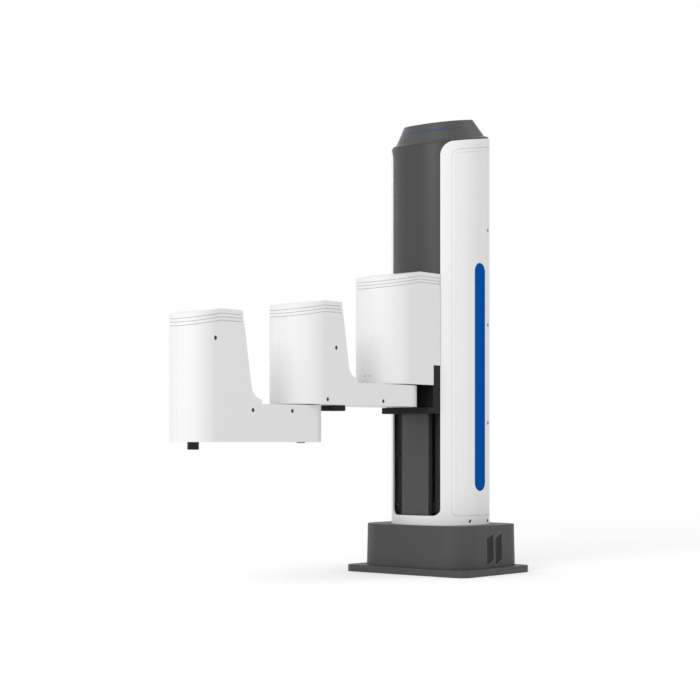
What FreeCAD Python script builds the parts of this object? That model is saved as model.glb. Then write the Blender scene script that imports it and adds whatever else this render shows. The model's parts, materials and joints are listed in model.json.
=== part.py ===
import FreeCAD, Part
import math
import os
from FreeCAD import Vector

os.makedirs("parts", exist_ok=True)

# Frame: origin at the centre of the base plate's underside, +X the way the arm points at rest,
# +Y to the robot's left, +Z up. Millimetres.

# Base plate and its bolt holes
plate_length = 175.0
plate_width = 230.0
plate_thick = 10.5
plate_corner_r = 15.0
bolt_hole_r = 4.5
bolt_edge_x = 11.5
bolt_edge_y = 11.0
bolt_spacing_x = plate_length - 2 * bolt_edge_x
bolt_spacing_y = plate_width - 2 * bolt_edge_y

# Base housing on the plate
base_front_x = 77.5
base_back_x = -83.5
base_half_width = 102.5
base_front_r = 47.0
base_back_r = 34.0
base_top_z = 74.0
base_draft = 1.4
base_wall = 4.0

# Slanted vents in both sides of the base housing
vent_columns = (3.5, -18.5)
vent_count = 9
vent_pitch = 4.3
vent_length = 18.0
vent_height = 2.5
vent_angle = 26.0
vent_low_z = 16.4

# Column outline: a slack front arc, round front corners, flat sides, round back corners
column_front_x = 65.2
column_back_x = -60.0
column_half_width = 74.5
column_front_arc_r = 150.0
column_corner_r = 68.0
column_back_r = 40.0
column_wall = 3.0
rim_z = 658.0
rim_slant = 9.5

# Front opening of the column shell
slot_half_width = 45.2
slot_low_z = 88.4
slot_low_r = 10.5
slot_flare_r = 24.5
upper_cover_low_z = 445.0
upper_cover_gap = 0.3
upper_cover_sink = 0.4
upper_cover_back_x = 25.0
window_reach = 200.0

# Side panels, their border groove and the coloured stripe
panel_front_x = 41.5
panel_back_x = -50.0
panel_low_z = 88.0
panel_rim_drop = 13.3
panel_corner_r = 11.0
panel_low_r = 7.0
panel_thick = 2.0
panel_gap = 0.4
panel_border = 5.0
panel_border_low_z = 104.0
panel_groove = 0.8
panel_groove_deep = 0.5
stripe_front_x = 4.8
stripe_back_x = -21.0
stripe_low_z = 125.0
stripe_high_z = 471.0
stripe_thick = 0.8

# Cap and its light
cap_inset = 1.5
cap_lip = 2.8
cap_chamfer = 2.0
cap_lip_inset = 7.6
cap_rise = 26.5
cap_taper = 15.1
cap_wall = 3.0
light_height = 1.7
light_below_top = 10.5
light_back_x = 10.0
light_deep = 1.2

# Column inside: spine, guide rails, screw, cover strip and slot liners
spine_front_x = -8.0
spine_thick = 14.0
spine_half_width = 56.0
spine_flange = 10.0
spine_flange_front_x = 20.0
spine_rim_gap = 36.0
spine_top_z = rim_z - spine_rim_gap
spine_hole_r = 14.0
spine_hole_zs = (160.0, 260.0, 360.0, 460.0, 560.0)
rail_y = 34.0
rail_width = 12.0
rail_height = 8.0
rail_low_z = 96.0
rail_end_gap = 26.0
rail_length = spine_top_z - rail_end_gap - rail_low_z
rail_groove_low = 2.5
rail_groove_width = 3.0
rail_groove_deep = 1.2
strip_half_width = 25.3
strip_front_x = 58.0
strip_thick = 2.0
strip_crown = 1.5
liner_front_x = 45.0
liner_thick = 2.0
liner_gap = 0.6
boss_y = 41.0
boss_r = 3.2
boss_height = 2.0
boss_first_z = 104.0
boss_pitch = 77.7
boss_count = 5
screw_x = 36.0
screw_r = 7.0
screw_low_z = 78.0
screw_end_gap = 16.0
screw_top_z = spine_top_z - screw_end_gap
screw_running_gap = 0.08
bearing_low_z = 92.0
bearing_block_tall = 14.0
bearing_end_gap = 34.0
bearing_top_z = spine_top_z - bearing_end_gap
bearing_nose = 14.0
strip_end_gap = 8.0
strip_wall_gap = 10.0
strip_wall_inner = 5.0
liner_reach = 9.0
liner_spine_lap = 6.0

# Lift drive in the foot of the column
lift_motor_x = -39.5
lift_motor_half = 16.0
lift_motor_low_z = 90.0
lift_motor_tall = 90.0
lift_shaft_r = 4.0
pulley_r = 14.0
pulley_flange_r = 15.5
pulley_low_z = 79.0
pulley_tall = 9.0
belt_thick = 1.6
belt_gap = 0.3
belt_edge = 2.0
belt_window_gap = 4.5
belt_window_rise = 3.0
pulley_flange = 1.2
motor_foot_rise = 14.0
motor_foot_lap = 4.0
motor_corner_r = 3.0
motor_bore_deep = 7.0

# Joint axes along the straight arm
shoulder_x = 124.0
arm_link = 200.0
elbow_x = shoulder_x + arm_link
spindle_x = elbow_x + arm_link

# Carriage
carriage_half_width = 46.0
carriage_low_z = 284.3
carriage_top_z = 451.0
carriage_crease_x = 103.6
carriage_column_gap = 1.4
carriage_reach = 100.0
carriage_nose_lead = 0.5
carriage_lap = 25.0
notch_top_z = 314.0
notch_gap = 0.3
mark_r = 1.0
mark_deep = 1.0
mark_z = 296.0
mark_ys = (-4.5, 4.5)
bracket_half_width = 44.8
web_front_x = 70.0
web_back_x = 60.0
web_side_back_x = 48.4
web_side_width = 9.0
web_low_z = 242.0
lip_front_x = 81.5
lip_thick = 9.2
leg_thick = 2.6
leg_strip_gap = 0.6
leg_low_z = 252.0
leg_top_z = 310.0
upper_web_thick = 8.0
upper_web_half = 36.0
upper_web_top_z = 428.0
upper_web_lap = 2.0
shelf_thick = 10.0
shelf_inset = 0.3
shelf_lift = 1.7
shelf_low_z = carriage_low_z + shelf_lift
shelf_root_r = 4.0
slide_plate_thick = 9.0
slide_plate_low_z = 246.0
slide_plate_top_z = 418.0
slide_plate_half = 45.0
block_width = 27.0
block_length = 40.0
block_clear = 0.3
block_end_gap = 4.0
block_lift = 2.0
block_tall = 12.0
nut_half = 15.0
nut_nose = 12.0
nut_tall = 36.0

# Covers of the carriage and arms
cover_wall = 3.0
roof_slant = 10.0
lid_depth = 15.85
groove_depths = (6.3, 10.9, 15.4)
groove_height = 0.9
groove_deep = 1.3
back_slant = 9.4
back_fillet_r = 22.0
back_ledge = 5.5
ledge_trim = 1.5
seam_width = 0.4
seam_deep = 0.4
roof_back_r = 3.0

# Inner arm, from the shoulder to the elbow
inner_half_width = 44.2
inner_nose_x = 314.4
inner_low_z = 251.5
inner_beam_top_z = 283.0
inner_top_z = 394.8
inner_crease_x = 314.3
inner_back_x = 278.0
stop_back_x = 233.0
stop_front_x = 259.0
stop_half_width = 12.0
stop_low_z = 243.5
stop_edge_r = 1.5

# Outer arm, from the elbow to the tool spindle
outer_half_width = 34.3
outer_nose_x = 519.0
outer_low_z = 199.0
outer_beam_top_z = 250.0
outer_top_z = 372.2
outer_crease_x = 507.0
outer_back_x = 466.5
plug_x = 315.0
plug_r = 6.0
plug_stand = 1.2

# Arm frames and base covers
base_cover_thick = 2.5
frame_wall = 4.0
frame_floor = 4.0
frame_gap = 0.3
hub_wall = 7.0
hub_step = 4.0

# Motors and reducers, one size for each joint
shoulder_motor_half = 30.0
shoulder_motor_tall = 92.0
shoulder_reducer_r = 35.0
shoulder_reducer_tall = 26.0
elbow_motor_half = 21.0
elbow_motor_tall = 60.0
elbow_reducer_r = 27.0
elbow_reducer_tall = 22.0
motor_body_share = 0.8
motor_notch_share = 0.2
motor_flange = 6.0
flange_share = 0.62
flange_gap = 0.3

# Tool spindle
spindle_r = 7.65
spindle_step = 0.35
spindle_stub_r = 3.0
spindle_stub_long = 6.0
spindle_stand = 10.0
spindle_bore_r = 2.1
spindle_bore_deep = 8.0
spindle_collar_r = 10.0
collar_gap = 2.0
coupling_end_gap = 0.5
coupling_motor_gap = 1.5
spindle_top_z = 262.0
spindle_bearing_r = 16.0
spindle_bearing_tall = 9.0
spindle_bearing_low_z = 206.0
spindle_bearing_high_z = 240.0
spindle_running_gap = 0.05
spindle_motor_half = 19.0
spindle_motor_low_z = 268.0
spindle_motor_tall = 72.0

# Cover screws
screw_head_r = 2.6
screw_head_tall = 1.6
screw_pocket_gap = 0.3
screw_socket_r = 1.3
screw_sunk = 0.4

# Rear connector panel
connector_half_width = 55.0
connector_low_z = 22.0
connector_top_z = 62.0
connector_thick = 2.5
inlet_y = -34.0
inlet_width = 27.0
inlet_height = 20.0
inlet_deep = 16.0
port_width = 15.0
port_height = 13.0
port_deep = 14.0
port_ys = (-2.0, 16.0, 34.0)
socket_wall = 1.5

# Electronics in the base
electronics_back_gap = 17.5
supply_size = (60.0, 80.0, 34.0)
supply_side_gap = 14.5
board_size = (110.0, 72.0, 1.6)
board_side_gap = 10.5
board_hole_edge = 6.0
standoff_r = 3.0
board_standoff = 8.0
fan_size = 40.0
fan_thick = 15.0
fan_x = -4.0
fan_wall_gap = 0.2
fan_frame = 1.5
fan_hub_r = 9.0
fan_bar = 3.0
fan_bar_thick = 2.0
fan_foot = 4.0

UP = Vector(0, 0, 1)
EAST = Vector(1, 0, 0)
NORTH = Vector(0, 1, 0)


def save(shape, node):
    """Write one node's solids to its STEP file."""
    shape.exportStep("parts/" + node + ".step")


def box(x0, x1, y0, y1, z0, z1):
    return Part.makeBox(x1 - x0, y1 - y0, z1 - z0, Vector(x0, y0, z0))


def rod(x, y, z0, z1, r):
    return Part.makeCylinder(r, z1 - z0, Vector(x, y, z0), UP)


def rod_y(x, y0, y1, z, r):
    return Part.makeCylinder(r, y1 - y0, Vector(x, y0, z), NORTH)


def rod_x(x0, x1, y, z, r):
    return Part.makeCylinder(r, x1 - x0, Vector(x0, y, z), EAST)


def both_sides(shape):
    """A shape and its mirror image across the robot's middle plane."""
    return shape, shape.mirror(Vector(0, 0, 0), NORTH)


def group(shapes):
    return Part.makeCompound(list(shapes))


def clean(shape):
    """Join faces split by cuts and return the single solid."""
    merged = shape.removeSplitter()
    if len(merged.Solids) == 1:
        return merged.Solids[0]
    return merged


def arc_edge(cx, cy, r, a0, a1, z=0.0):
    """Arc in a level plane between two angles in radians."""
    def at(a):
        return Vector(cx + r * math.cos(a), cy + r * math.sin(a), z)
    return Part.Arc(at(a0), at((a0 + a1) / 2), at(a1)).toShape()


def joined(edges):
    """Closed wire from edges in order, with straight runs in the gaps."""
    chain = []
    for i, edge in enumerate(edges):
        following = edges[(i + 1) % len(edges)]
        chain.append(edge)
        end = edge.lastVertex().Point
        start = following.firstVertex().Point
        if end.distanceToPoint(start) > 1e-6:
            chain.append(Part.makeLine(end, start))
    return Part.Wire(chain)


def prism(wire, direction):
    return Part.Face(wire).extrude(direction)


def rounded_plan(x0, x1, half, r_back, r_front, z=0.0):
    """Level rectangle with its own corner radii at the back and the front."""
    quarter = math.pi / 2
    return joined([
        arc_edge(x1 - r_front, -half + r_front, r_front, -quarter, 0, z),
        arc_edge(x1 - r_front, half - r_front, r_front, 0, quarter, z),
        arc_edge(x0 + r_back, half - r_back, r_back, quarter, 2 * quarter, z),
        arc_edge(x0 + r_back, -half + r_back, r_back, 2 * quarter, 3 * quarter, z),
    ])


def column_corner():
    """Centre of the column's left front corner and the turn where it meets the front arc."""
    corner_y = column_half_width - column_corner_r
    reach = column_front_arc_r - column_corner_r
    corner_dx = math.sqrt(reach ** 2 - corner_y ** 2)
    corner_x = column_front_x - column_front_arc_r + corner_dx
    return corner_x, corner_y, math.atan2(corner_y, corner_dx)


def column_plan(inset=0.0, z=0.0):
    """Outline of the column, drawn in by an inset."""
    corner_x, corner_y, turn = column_corner()
    arc_x = column_front_x - column_front_arc_r
    back_x = column_back_x + column_back_r
    back_y = column_half_width - column_back_r
    quarter = math.pi / 2
    r_corner = column_corner_r - inset
    r_back = column_back_r - inset
    return joined([
        arc_edge(arc_x, 0, column_front_arc_r - inset, -turn, turn, z),
        arc_edge(corner_x, corner_y, r_corner, turn, quarter, z),
        arc_edge(back_x, back_y, r_back, quarter, 2 * quarter, z),
        arc_edge(back_x, -back_y, r_back, 2 * quarter, 3 * quarter, z),
        arc_edge(corner_x, -corner_y, r_corner, -quarter, -turn, z),
    ])


def side_profile(corners, y0, y1):
    """Prism along Y of an outline given as (x, z, corner radius)."""
    count = len(corners)
    ends = []
    for i in range(count):
        x, z, r = corners[i]
        here = Vector(x, 0, z)
        if r <= 0:
            ends.append((here, here, None))
            continue
        before = Vector(corners[i - 1][0], 0, corners[i - 1][1])
        after = Vector(corners[(i + 1) % count][0], 0, corners[(i + 1) % count][1])
        back = (before - here).normalize()
        ahead = (after - here).normalize()
        half_angle = math.acos(max(-1.0, min(1.0, back.dot(ahead)))) / 2
        reach = r / math.tan(half_angle)
        middle = (back + ahead).normalize()
        centre = here + middle * (r / math.sin(half_angle))
        ends.append((here + back * reach, here + ahead * reach, centre - middle * r))
    edges = []
    for i in range(count):
        start, end, bulge = ends[i]
        if bulge is not None:
            edges.append(Part.Arc(start, bulge, end).toShape())
        following = ends[(i + 1) % count][0]
        if end.distanceToPoint(following) > 1e-6:
            edges.append(Part.makeLine(end, following))
    solid = Part.Face(Part.Wire(edges)).extrude(Vector(0, y1 - y0, 0))
    solid.translate(Vector(0, y0, 0))
    return solid


def rim_height(x):
    """Height of the column's slanted top above a place along X."""
    return rim_z - x * math.tan(math.radians(rim_slant))


def rim_prism(drop, low=0.0):
    """Everything under the slanted top, lowered by a drop."""
    reach = window_reach
    corners = [
        (-reach, low, 0),
        (reach, low, 0),
        (reach, rim_height(reach) - drop, 0),
        (-reach, rim_height(-reach) - drop, 0),
    ]
    return side_profile(corners, -reach, reach)


def column_solid(inset, drop=0.0, low=base_top_z):
    """Column body inside an inset outline, up to the slanted top."""
    tall = prism(column_plan(inset, low), UP * (rim_z + window_reach))
    return tall.common(rim_prism(drop))


def front_window(gap=0.0, low_z=slot_low_z, x0=10.0):
    """Prism along X of the column's front opening, with its flared top."""
    half = slot_half_width - gap
    corner_x, corner_y, turn = column_corner()
    flare_y = slot_half_width + slot_flare_r
    flare_x = corner_x + math.sqrt(column_corner_r ** 2 - (flare_y - corner_y) ** 2)
    flare_z = rim_height(flare_x) - slot_flare_r
    top = rim_z + window_reach
    r_low = slot_low_r
    flare = slot_flare_r + gap
    slope = flare * math.sqrt(0.5)

    def at(y, z):
        return Vector(x0, y, z)

    edges = []
    edges.append(Part.makeLine(at(-half + r_low, low_z), at(half - r_low, low_z)))
    low_bulge = at(half - r_low + r_low * math.sqrt(0.5), low_z + r_low - r_low * math.sqrt(0.5))
    edges.append(Part.Arc(at(half - r_low, low_z), low_bulge, at(half, low_z + r_low)).toShape())
    edges.append(Part.makeLine(at(half, low_z + r_low), at(half, flare_z)))
    bulge = at(half + flare - slope, flare_z + slope)
    edges.append(Part.Arc(at(half, flare_z), bulge, at(half + flare, flare_z + flare)).toShape())
    edges.append(Part.makeLine(at(half + flare, flare_z + flare), at(half + flare, top)))
    edges.append(Part.makeLine(at(half + flare, top), at(-half - flare, top)))
    edges.append(Part.makeLine(at(-half - flare, top), at(-half - flare, flare_z + flare)))
    bulge = at(-half - flare + slope, flare_z + slope)
    edges.append(Part.Arc(at(-half - flare, flare_z + flare), bulge, at(-half, flare_z)).toShape())
    edges.append(Part.makeLine(at(-half, flare_z), at(-half, low_z + r_low)))
    low_bulge = at(-half + r_low - r_low * math.sqrt(0.5), low_z + r_low - r_low * math.sqrt(0.5))
    edges.append(Part.Arc(at(-half, low_z + r_low), low_bulge, at(-half + r_low, low_z)).toShape())
    return prism(Part.Wire(edges), EAST * window_reach)


def panel_prism(shrink=0.0):
    """Prism along Y of the left side panel's outline, with round corners."""
    x0 = panel_back_x + shrink
    x1 = panel_front_x - shrink
    drop = panel_rim_drop + shrink
    r = panel_corner_r - shrink
    r_low = panel_low_r - shrink
    corners = [
        (x0, panel_low_z + shrink, r_low),
        (x1, panel_low_z + shrink, r_low),
        (x1, rim_height(x1) - drop, r),
        (x0, rim_height(x0) - drop, r),
    ]
    return side_profile(corners, 5.0, 200.0)


def stripe_prism():
    """Prism along Y of the stripe's outline, with half-round ends."""
    r = (stripe_front_x - stripe_back_x) / 2 - 0.01
    corners = [
        (stripe_back_x, stripe_low_z, r),
        (stripe_front_x, stripe_low_z, r),
        (stripe_front_x, stripe_high_z, r),
        (stripe_back_x, stripe_high_z, r),
    ]
    return side_profile(corners, 5.0, 200.0)


def base_plan(inset, z):
    return rounded_plan(base_back_x + inset, base_front_x - inset, base_half_width - inset,
                        base_back_r - inset, base_front_r - inset, z)


def vent_slots():
    """Slanted slots through both side walls of the base housing."""
    slots = []
    for column_x in vent_columns:
        for i in range(vent_count):
            z = vent_low_z + i * vent_pitch + vent_length / 2 * math.tan(math.radians(vent_angle))
            slot = box(column_x - vent_length / 2, column_x + vent_length / 2,
                       base_half_width - 3 * base_wall, base_half_width + base_wall,
                       z - vent_height / 2, z + vent_height / 2)
            slot.rotate(Vector(column_x, 0, z), NORTH, vent_angle)
            slots.extend(both_sides(slot))
    return group(slots)


def connector_opening(gap):
    return box(base_back_x - 20, base_back_x + 20, -connector_half_width - gap,
               connector_half_width + gap, connector_low_z - gap, connector_top_z + gap)


def build_base_plate():
    plan = rounded_plan(-plate_length / 2, plate_length / 2, plate_width / 2,
                        plate_corner_r, plate_corner_r)
    plate = prism(plan, UP * plate_thick)
    for x in (-bolt_spacing_x / 2, bolt_spacing_x / 2):
        for y in (-bolt_spacing_y / 2, bolt_spacing_y / 2):
            plate = plate.cut(rod(x, y, -1, plate_thick + 1, bolt_hole_r))
    return plate


def build_base_housing():
    outer = Part.makeLoft([base_plan(0, plate_thick), base_plan(base_draft, base_top_z)], True, True)
    hollow = Part.makeLoft([base_plan(base_wall, plate_thick),
                            base_plan(base_wall + base_draft, base_top_z - base_wall)], True, True)
    shell = outer.cut(hollow)
    shell = shell.cut(vent_slots())
    return clean(shell.cut(connector_opening(0)))


def build_connector_panel():
    """Flat panel in the back of the base, open for each socket."""
    x0 = base_back_x + base_draft
    panel = box(x0, x0 + connector_thick, -connector_half_width, connector_half_width,
                connector_low_z, connector_top_z)
    middle_z = (connector_low_z + connector_top_z) / 2
    panel = panel.cut(box(x0 - 1, x0 + 9, inlet_y - inlet_width / 2, inlet_y + inlet_width / 2,
                          middle_z - inlet_height / 2, middle_z + inlet_height / 2))
    for y in port_ys:
        panel = panel.cut(box(x0 - 1, x0 + 9, y - port_width / 2, y + port_width / 2,
                              middle_z - port_height / 2, middle_z + port_height / 2))
    return panel


def socket_cup(y, width, height, deep):
    """Box open to the back of the robot, seated in the connector panel."""
    x0 = base_back_x + base_draft
    z = (connector_low_z + connector_top_z) / 2
    cup = box(x0, x0 + deep, y - width / 2, y + width / 2, z - height / 2, z + height / 2)
    wall = socket_wall
    return cup.cut(box(x0 - 1, x0 + deep - wall, y - width / 2 + wall, y + width / 2 - wall,
                       z - height / 2 + wall, z + height / 2 - wall))


def build_electronics():
    """Power supply, controller board with its standoffs, and the vent fan."""
    x = base_back_x + electronics_back_gap
    y = -(base_half_width - supply_side_gap)
    supply = box(x, x + supply_size[0], y, y + supply_size[1], plate_thick, plate_thick + supply_size[2])
    save(supply, "power_supply")
    y = base_half_width - board_side_gap - board_size[1]
    board_z = plate_thick + board_standoff
    board = box(x, x + board_size[0], y, y + board_size[1], board_z, board_z + board_size[2])
    edge = board_hole_edge
    for px in (x + edge, x + board_size[0] - edge):
        for py in (y + edge, y + board_size[1] - edge):
            board = board.fuse(rod(px, py, plate_thick, board_z, standoff_r))
    save(clean(board), "controller_board")
    low = plate_thick + fan_foot
    face_y = -(base_half_width - base_wall - base_draft - fan_wall_gap)
    frame = box(fan_x, fan_x + fan_size, face_y, face_y + fan_thick, plate_thick, low + fan_size)
    hub_z = low + fan_size / 2
    hole = rod_y(fan_x + fan_size / 2, face_y - 1, face_y + fan_thick + 1, hub_z, fan_size / 2 - fan_frame)
    hub = rod_y(fan_x + fan_size / 2, face_y, face_y + fan_thick - fan_bar_thick, hub_z, fan_hub_r)
    bar = box(fan_x, fan_x + fan_size, face_y, face_y + fan_bar_thick,
              hub_z - fan_bar / 2, hub_z + fan_bar / 2)
    save(clean(frame.cut(hole).fuse(hub).fuse(bar)), "vent_fan")


def build_column_covers():
    """White shell, side panels, stripes, upper front cover."""
    shell = column_solid(0).cut(column_solid(column_wall, 0, base_top_z - 5))
    shell = shell.cut(front_window())
    pocket = column_solid(-5).cut(column_solid(panel_thick))
    pocket_left = pocket.common(panel_prism())
    for side in both_sides(pocket_left):
        shell = shell.cut(side)
    screws = panel_screws + skirt_screws
    shell = shell.cut(screw_pockets(screws, column_face_y, screw_sunk))
    save(clean(shell), "column_shell")
    save(screw_heads(screws, column_face_y, screw_sunk), "column_screws")

    panel = column_solid(0).cut(column_solid(panel_thick)).common(panel_prism(panel_gap))
    border = panel_prism(panel_border).cut(panel_prism(panel_border + panel_groove))
    border = border.cut(box(-window_reach, window_reach, 0, window_reach, 0, panel_border_low_z))
    groove = column_solid(-5).cut(column_solid(panel_groove_deep)).common(border)
    panel = panel.cut(groove)
    stripe_pocket = column_solid(-5).cut(column_solid(stripe_thick)).common(stripe_prism())
    panel = panel.cut(screw_pockets(panel_screws, column_face_y, screw_sunk))
    panel = clean(panel.cut(stripe_pocket))
    stripe = column_solid(0).cut(column_solid(stripe_thick)).common(stripe_prism())
    for piece, name in ((panel, "side_panel"), (stripe, "side_stripe")):
        left, right = both_sides(piece)
        save(left, name + "_left")
        save(right, name + "_right")

    upper = column_solid(upper_cover_sink)
    upper = upper.cut(column_solid(upper_cover_sink + column_wall, 0, base_top_z - 5))
    upper = upper.common(front_window(upper_cover_gap, upper_cover_low_z, upper_cover_back_x))
    save(clean(upper), "upper_front_cover")


def tilted(shape):
    """Lean a piece with the slanted top, about the middle of the column's rim."""
    leaned = shape.copy()
    leaned.rotate(Vector(0, 0, 0), NORTH, rim_slant)
    leaned.translate(Vector(0, 0, rim_z))
    return leaned


def cap_form(wall):
    """Upright lip, chamfer and frustum of the cap in its own level frame, drawn in by a wall."""
    low = cap_lip - wall / 2
    middle = low + cap_chamfer
    top = cap_lip + cap_chamfer + cap_rise - wall
    lip = prism(column_plan(cap_inset + wall), UP * low)
    chamfer = Part.makeLoft([column_plan(cap_inset + wall, low),
                             column_plan(cap_lip_inset + wall, middle)], True, True)
    frustum = Part.makeLoft([column_plan(cap_lip_inset + wall, middle),
                             column_plan(cap_lip_inset + cap_taper + wall, top)], True, True)
    return lip, chamfer, frustum


def build_cap():
    lip, chamfer, frustum = cap_form(0)
    cap = lip.fuse(chamfer).fuse(frustum)
    for hollow in cap_form(cap_wall):
        cap = cap.cut(hollow)
    light_z = cap_lip + cap_chamfer + cap_rise - light_below_top - light_height
    share = (light_z + light_height / 2 - cap_lip - cap_chamfer) / cap_rise
    inset = cap_lip_inset + cap_taper * share
    band = prism(column_plan(inset - light_height, light_z), UP * light_height)
    band = band.cut(prism(column_plan(inset + light_deep, light_z), UP * light_height))
    band = band.cut(box(-window_reach, light_back_x, -window_reach, window_reach, 0, window_reach))
    light = band.common(frustum)
    save(clean(tilted(light)), "status_light")
    save(clean(tilted(clean(cap.cut(light)))), "top_cap")


def build_column_inside():
    """Spine, rails, screw bearings, cover strip and slot liners."""
    spine_back = spine_front_x - spine_thick
    spine = box(spine_back, spine_front_x, -spine_half_width, spine_half_width, base_top_z, spine_top_z)
    for y0 in (-spine_half_width, spine_half_width - spine_flange):
        spine = spine.fuse(box(spine_front_x - 1, spine_flange_front_x, y0, y0 + spine_flange,
                               base_top_z, spine_top_z))
    belt_half = pulley_flange_r + belt_window_gap
    belt_window = box(spine_back - 1, spine_front_x + 1, -belt_half, belt_half, base_top_z - 1,
                      pulley_low_z + pulley_tall + belt_window_rise)
    for z in spine_hole_zs:
        spine = spine.cut(rod_x(spine_back - 1, spine_front_x + 1, 0, z, spine_hole_r))
    save(clean(spine.cut(belt_window)), "column_spine")

    rails = []
    for y in (-rail_y, rail_y):
        rail = box(spine_front_x, spine_front_x + rail_height, y - rail_width / 2, y + rail_width / 2,
                   rail_low_z, rail_low_z + rail_length)
        for side in (-1, 1):
            edge_y = y + side * rail_width / 2
            groove_x = spine_front_x + rail_groove_low
            rail = rail.cut(box(groove_x, groove_x + rail_groove_width,
                                edge_y - rail_groove_deep, edge_y + rail_groove_deep,
                                rail_low_z - 1, rail_low_z + rail_length + 1))
        rails.append(rail)
    save(group(rails), "guide_rails")

    blocks = []
    half = strip_half_width - strip_thick
    for z in (bearing_low_z, bearing_top_z):
        block = box(spine_front_x, screw_x + bearing_nose, -half, half, z, z + bearing_block_tall)
        blocks.append(block.cut(rod(screw_x, 0, z - 1, z + bearing_block_tall + 1,
                                    screw_r + screw_running_gap)))
    save(blocks[0], "screw_bearing_lower")
    save(blocks[1], "screw_bearing_upper")

    top = spine_top_z - strip_end_gap
    strip = cover_strip(top)
    save(strip, "centre_strip")
    for side, name in zip(both_sides(slot_liner(top)), ("slot_liner_left", "slot_liner_right")):
        save(side, name)


def cover_strip(top):
    """Shallow channel with a crowned front that hides the lift screw."""
    half = strip_half_width
    edge_x = strip_front_x - strip_crown

    def face(inset, back):
        front = Part.Arc(Vector(edge_x - inset, -half + inset, slot_low_z),
                         Vector(strip_front_x - inset, 0, slot_low_z),
                         Vector(edge_x - inset, half - inset, slot_low_z)).toShape()
        chain = [
            front,
            Part.makeLine(Vector(edge_x - inset, half - inset, slot_low_z),
                          Vector(back, half - inset, slot_low_z)),
            Part.makeLine(Vector(back, half - inset, slot_low_z),
                          Vector(back, -half + inset, slot_low_z)),
            Part.makeLine(Vector(back, -half + inset, slot_low_z),
                          Vector(edge_x - inset, -half + inset, slot_low_z)),
        ]
        return prism(Part.Wire(chain), UP * (top - slot_low_z))

    return clean(face(0, screw_x + strip_wall_gap).cut(face(strip_thick, screw_x + strip_wall_inner)))


def slot_liner(top):
    """Left floor of the recess beside the strip, with its round bosses."""
    inner_y = strip_half_width + leg_strip_gap + leg_thick + liner_gap
    outer_y = slot_half_width + liner_reach
    floor_back = liner_front_x - liner_thick
    floor = box(floor_back, liner_front_x, inner_y, outer_y, slot_low_z, top)
    floor = floor.fuse(box(spine_flange_front_x, floor_back + liner_thick / 2,
                           spine_half_width - liner_spine_lap, outer_y, slot_low_z, top))
    floor = floor.common(column_solid(column_wall + upper_cover_gap))
    for i in range(boss_count):
        z = boss_first_z + i * boss_pitch
        floor = floor.fuse(rod_x(liner_front_x - 1, liner_front_x + boss_height, boss_y, z, boss_r))
    return clean(floor)


def build_lift_drive():
    """Screw, pulleys, belt and motor that raise the carriage."""
    pulley_top = pulley_low_z + pulley_tall
    screw = rod(screw_x, 0, screw_low_z, screw_top_z, screw_r)
    save(screw, "lift_screw")
    wheel = belt_wheel(screw_x, screw_r)
    save(wheel, "screw_pulley")
    shaft = rod(lift_motor_x, 0, pulley_low_z - 1, lift_motor_low_z + 6, lift_shaft_r)
    save(clean(belt_wheel(lift_motor_x, 0).fuse(shaft)), "motor_pulley")
    half = lift_motor_half
    motor = box(lift_motor_x - half, lift_motor_x + half, -half, half,
                lift_motor_low_z, lift_motor_low_z + lift_motor_tall)
    for edge in (-half, half):
        for side in (-half, half):
            motor = motor.cut(rod(lift_motor_x + edge, side, lift_motor_low_z - 1,
                                  lift_motor_low_z + lift_motor_tall + 1, motor_corner_r))
    motor = motor.cut(rod(lift_motor_x, 0, lift_motor_low_z - 1, lift_motor_low_z + motor_bore_deep,
                          lift_shaft_r + screw_running_gap))
    foot = box(lift_motor_x + half - motor_foot_lap, spine_front_x - spine_thick, -half, half,
               lift_motor_low_z + motor_foot_rise, lift_motor_low_z + lift_motor_tall)
    save(clean(motor.fuse(foot)), "lift_motor")
    r_in = pulley_r + belt_gap
    loop = belt_loop(r_in + belt_thick, pulley_low_z + belt_edge, pulley_top - belt_edge)
    save(clean(loop.cut(belt_loop(r_in, pulley_low_z, pulley_top))), "lift_belt")


def belt_wheel(x, bore_r):
    pulley_top = pulley_low_z + pulley_tall
    wheel = rod(x, 0, pulley_low_z, pulley_top, pulley_r)
    for z in (pulley_low_z, pulley_top - pulley_flange):
        wheel = wheel.fuse(rod(x, 0, z, z + pulley_flange, pulley_flange_r))
    if bore_r > 0:
        wheel = wheel.cut(rod(x, 0, pulley_low_z - 1, pulley_top + 1, bore_r))
    return clean(wheel)


def belt_loop(r, z0, z1):
    quarter = math.pi / 2
    plan = joined([
        arc_edge(screw_x, 0, r, -quarter, quarter, z0),
        arc_edge(lift_motor_x, 0, r, quarter, 3 * quarter, z0),
    ])
    return prism(plan, UP * (z1 - z0))


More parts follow.
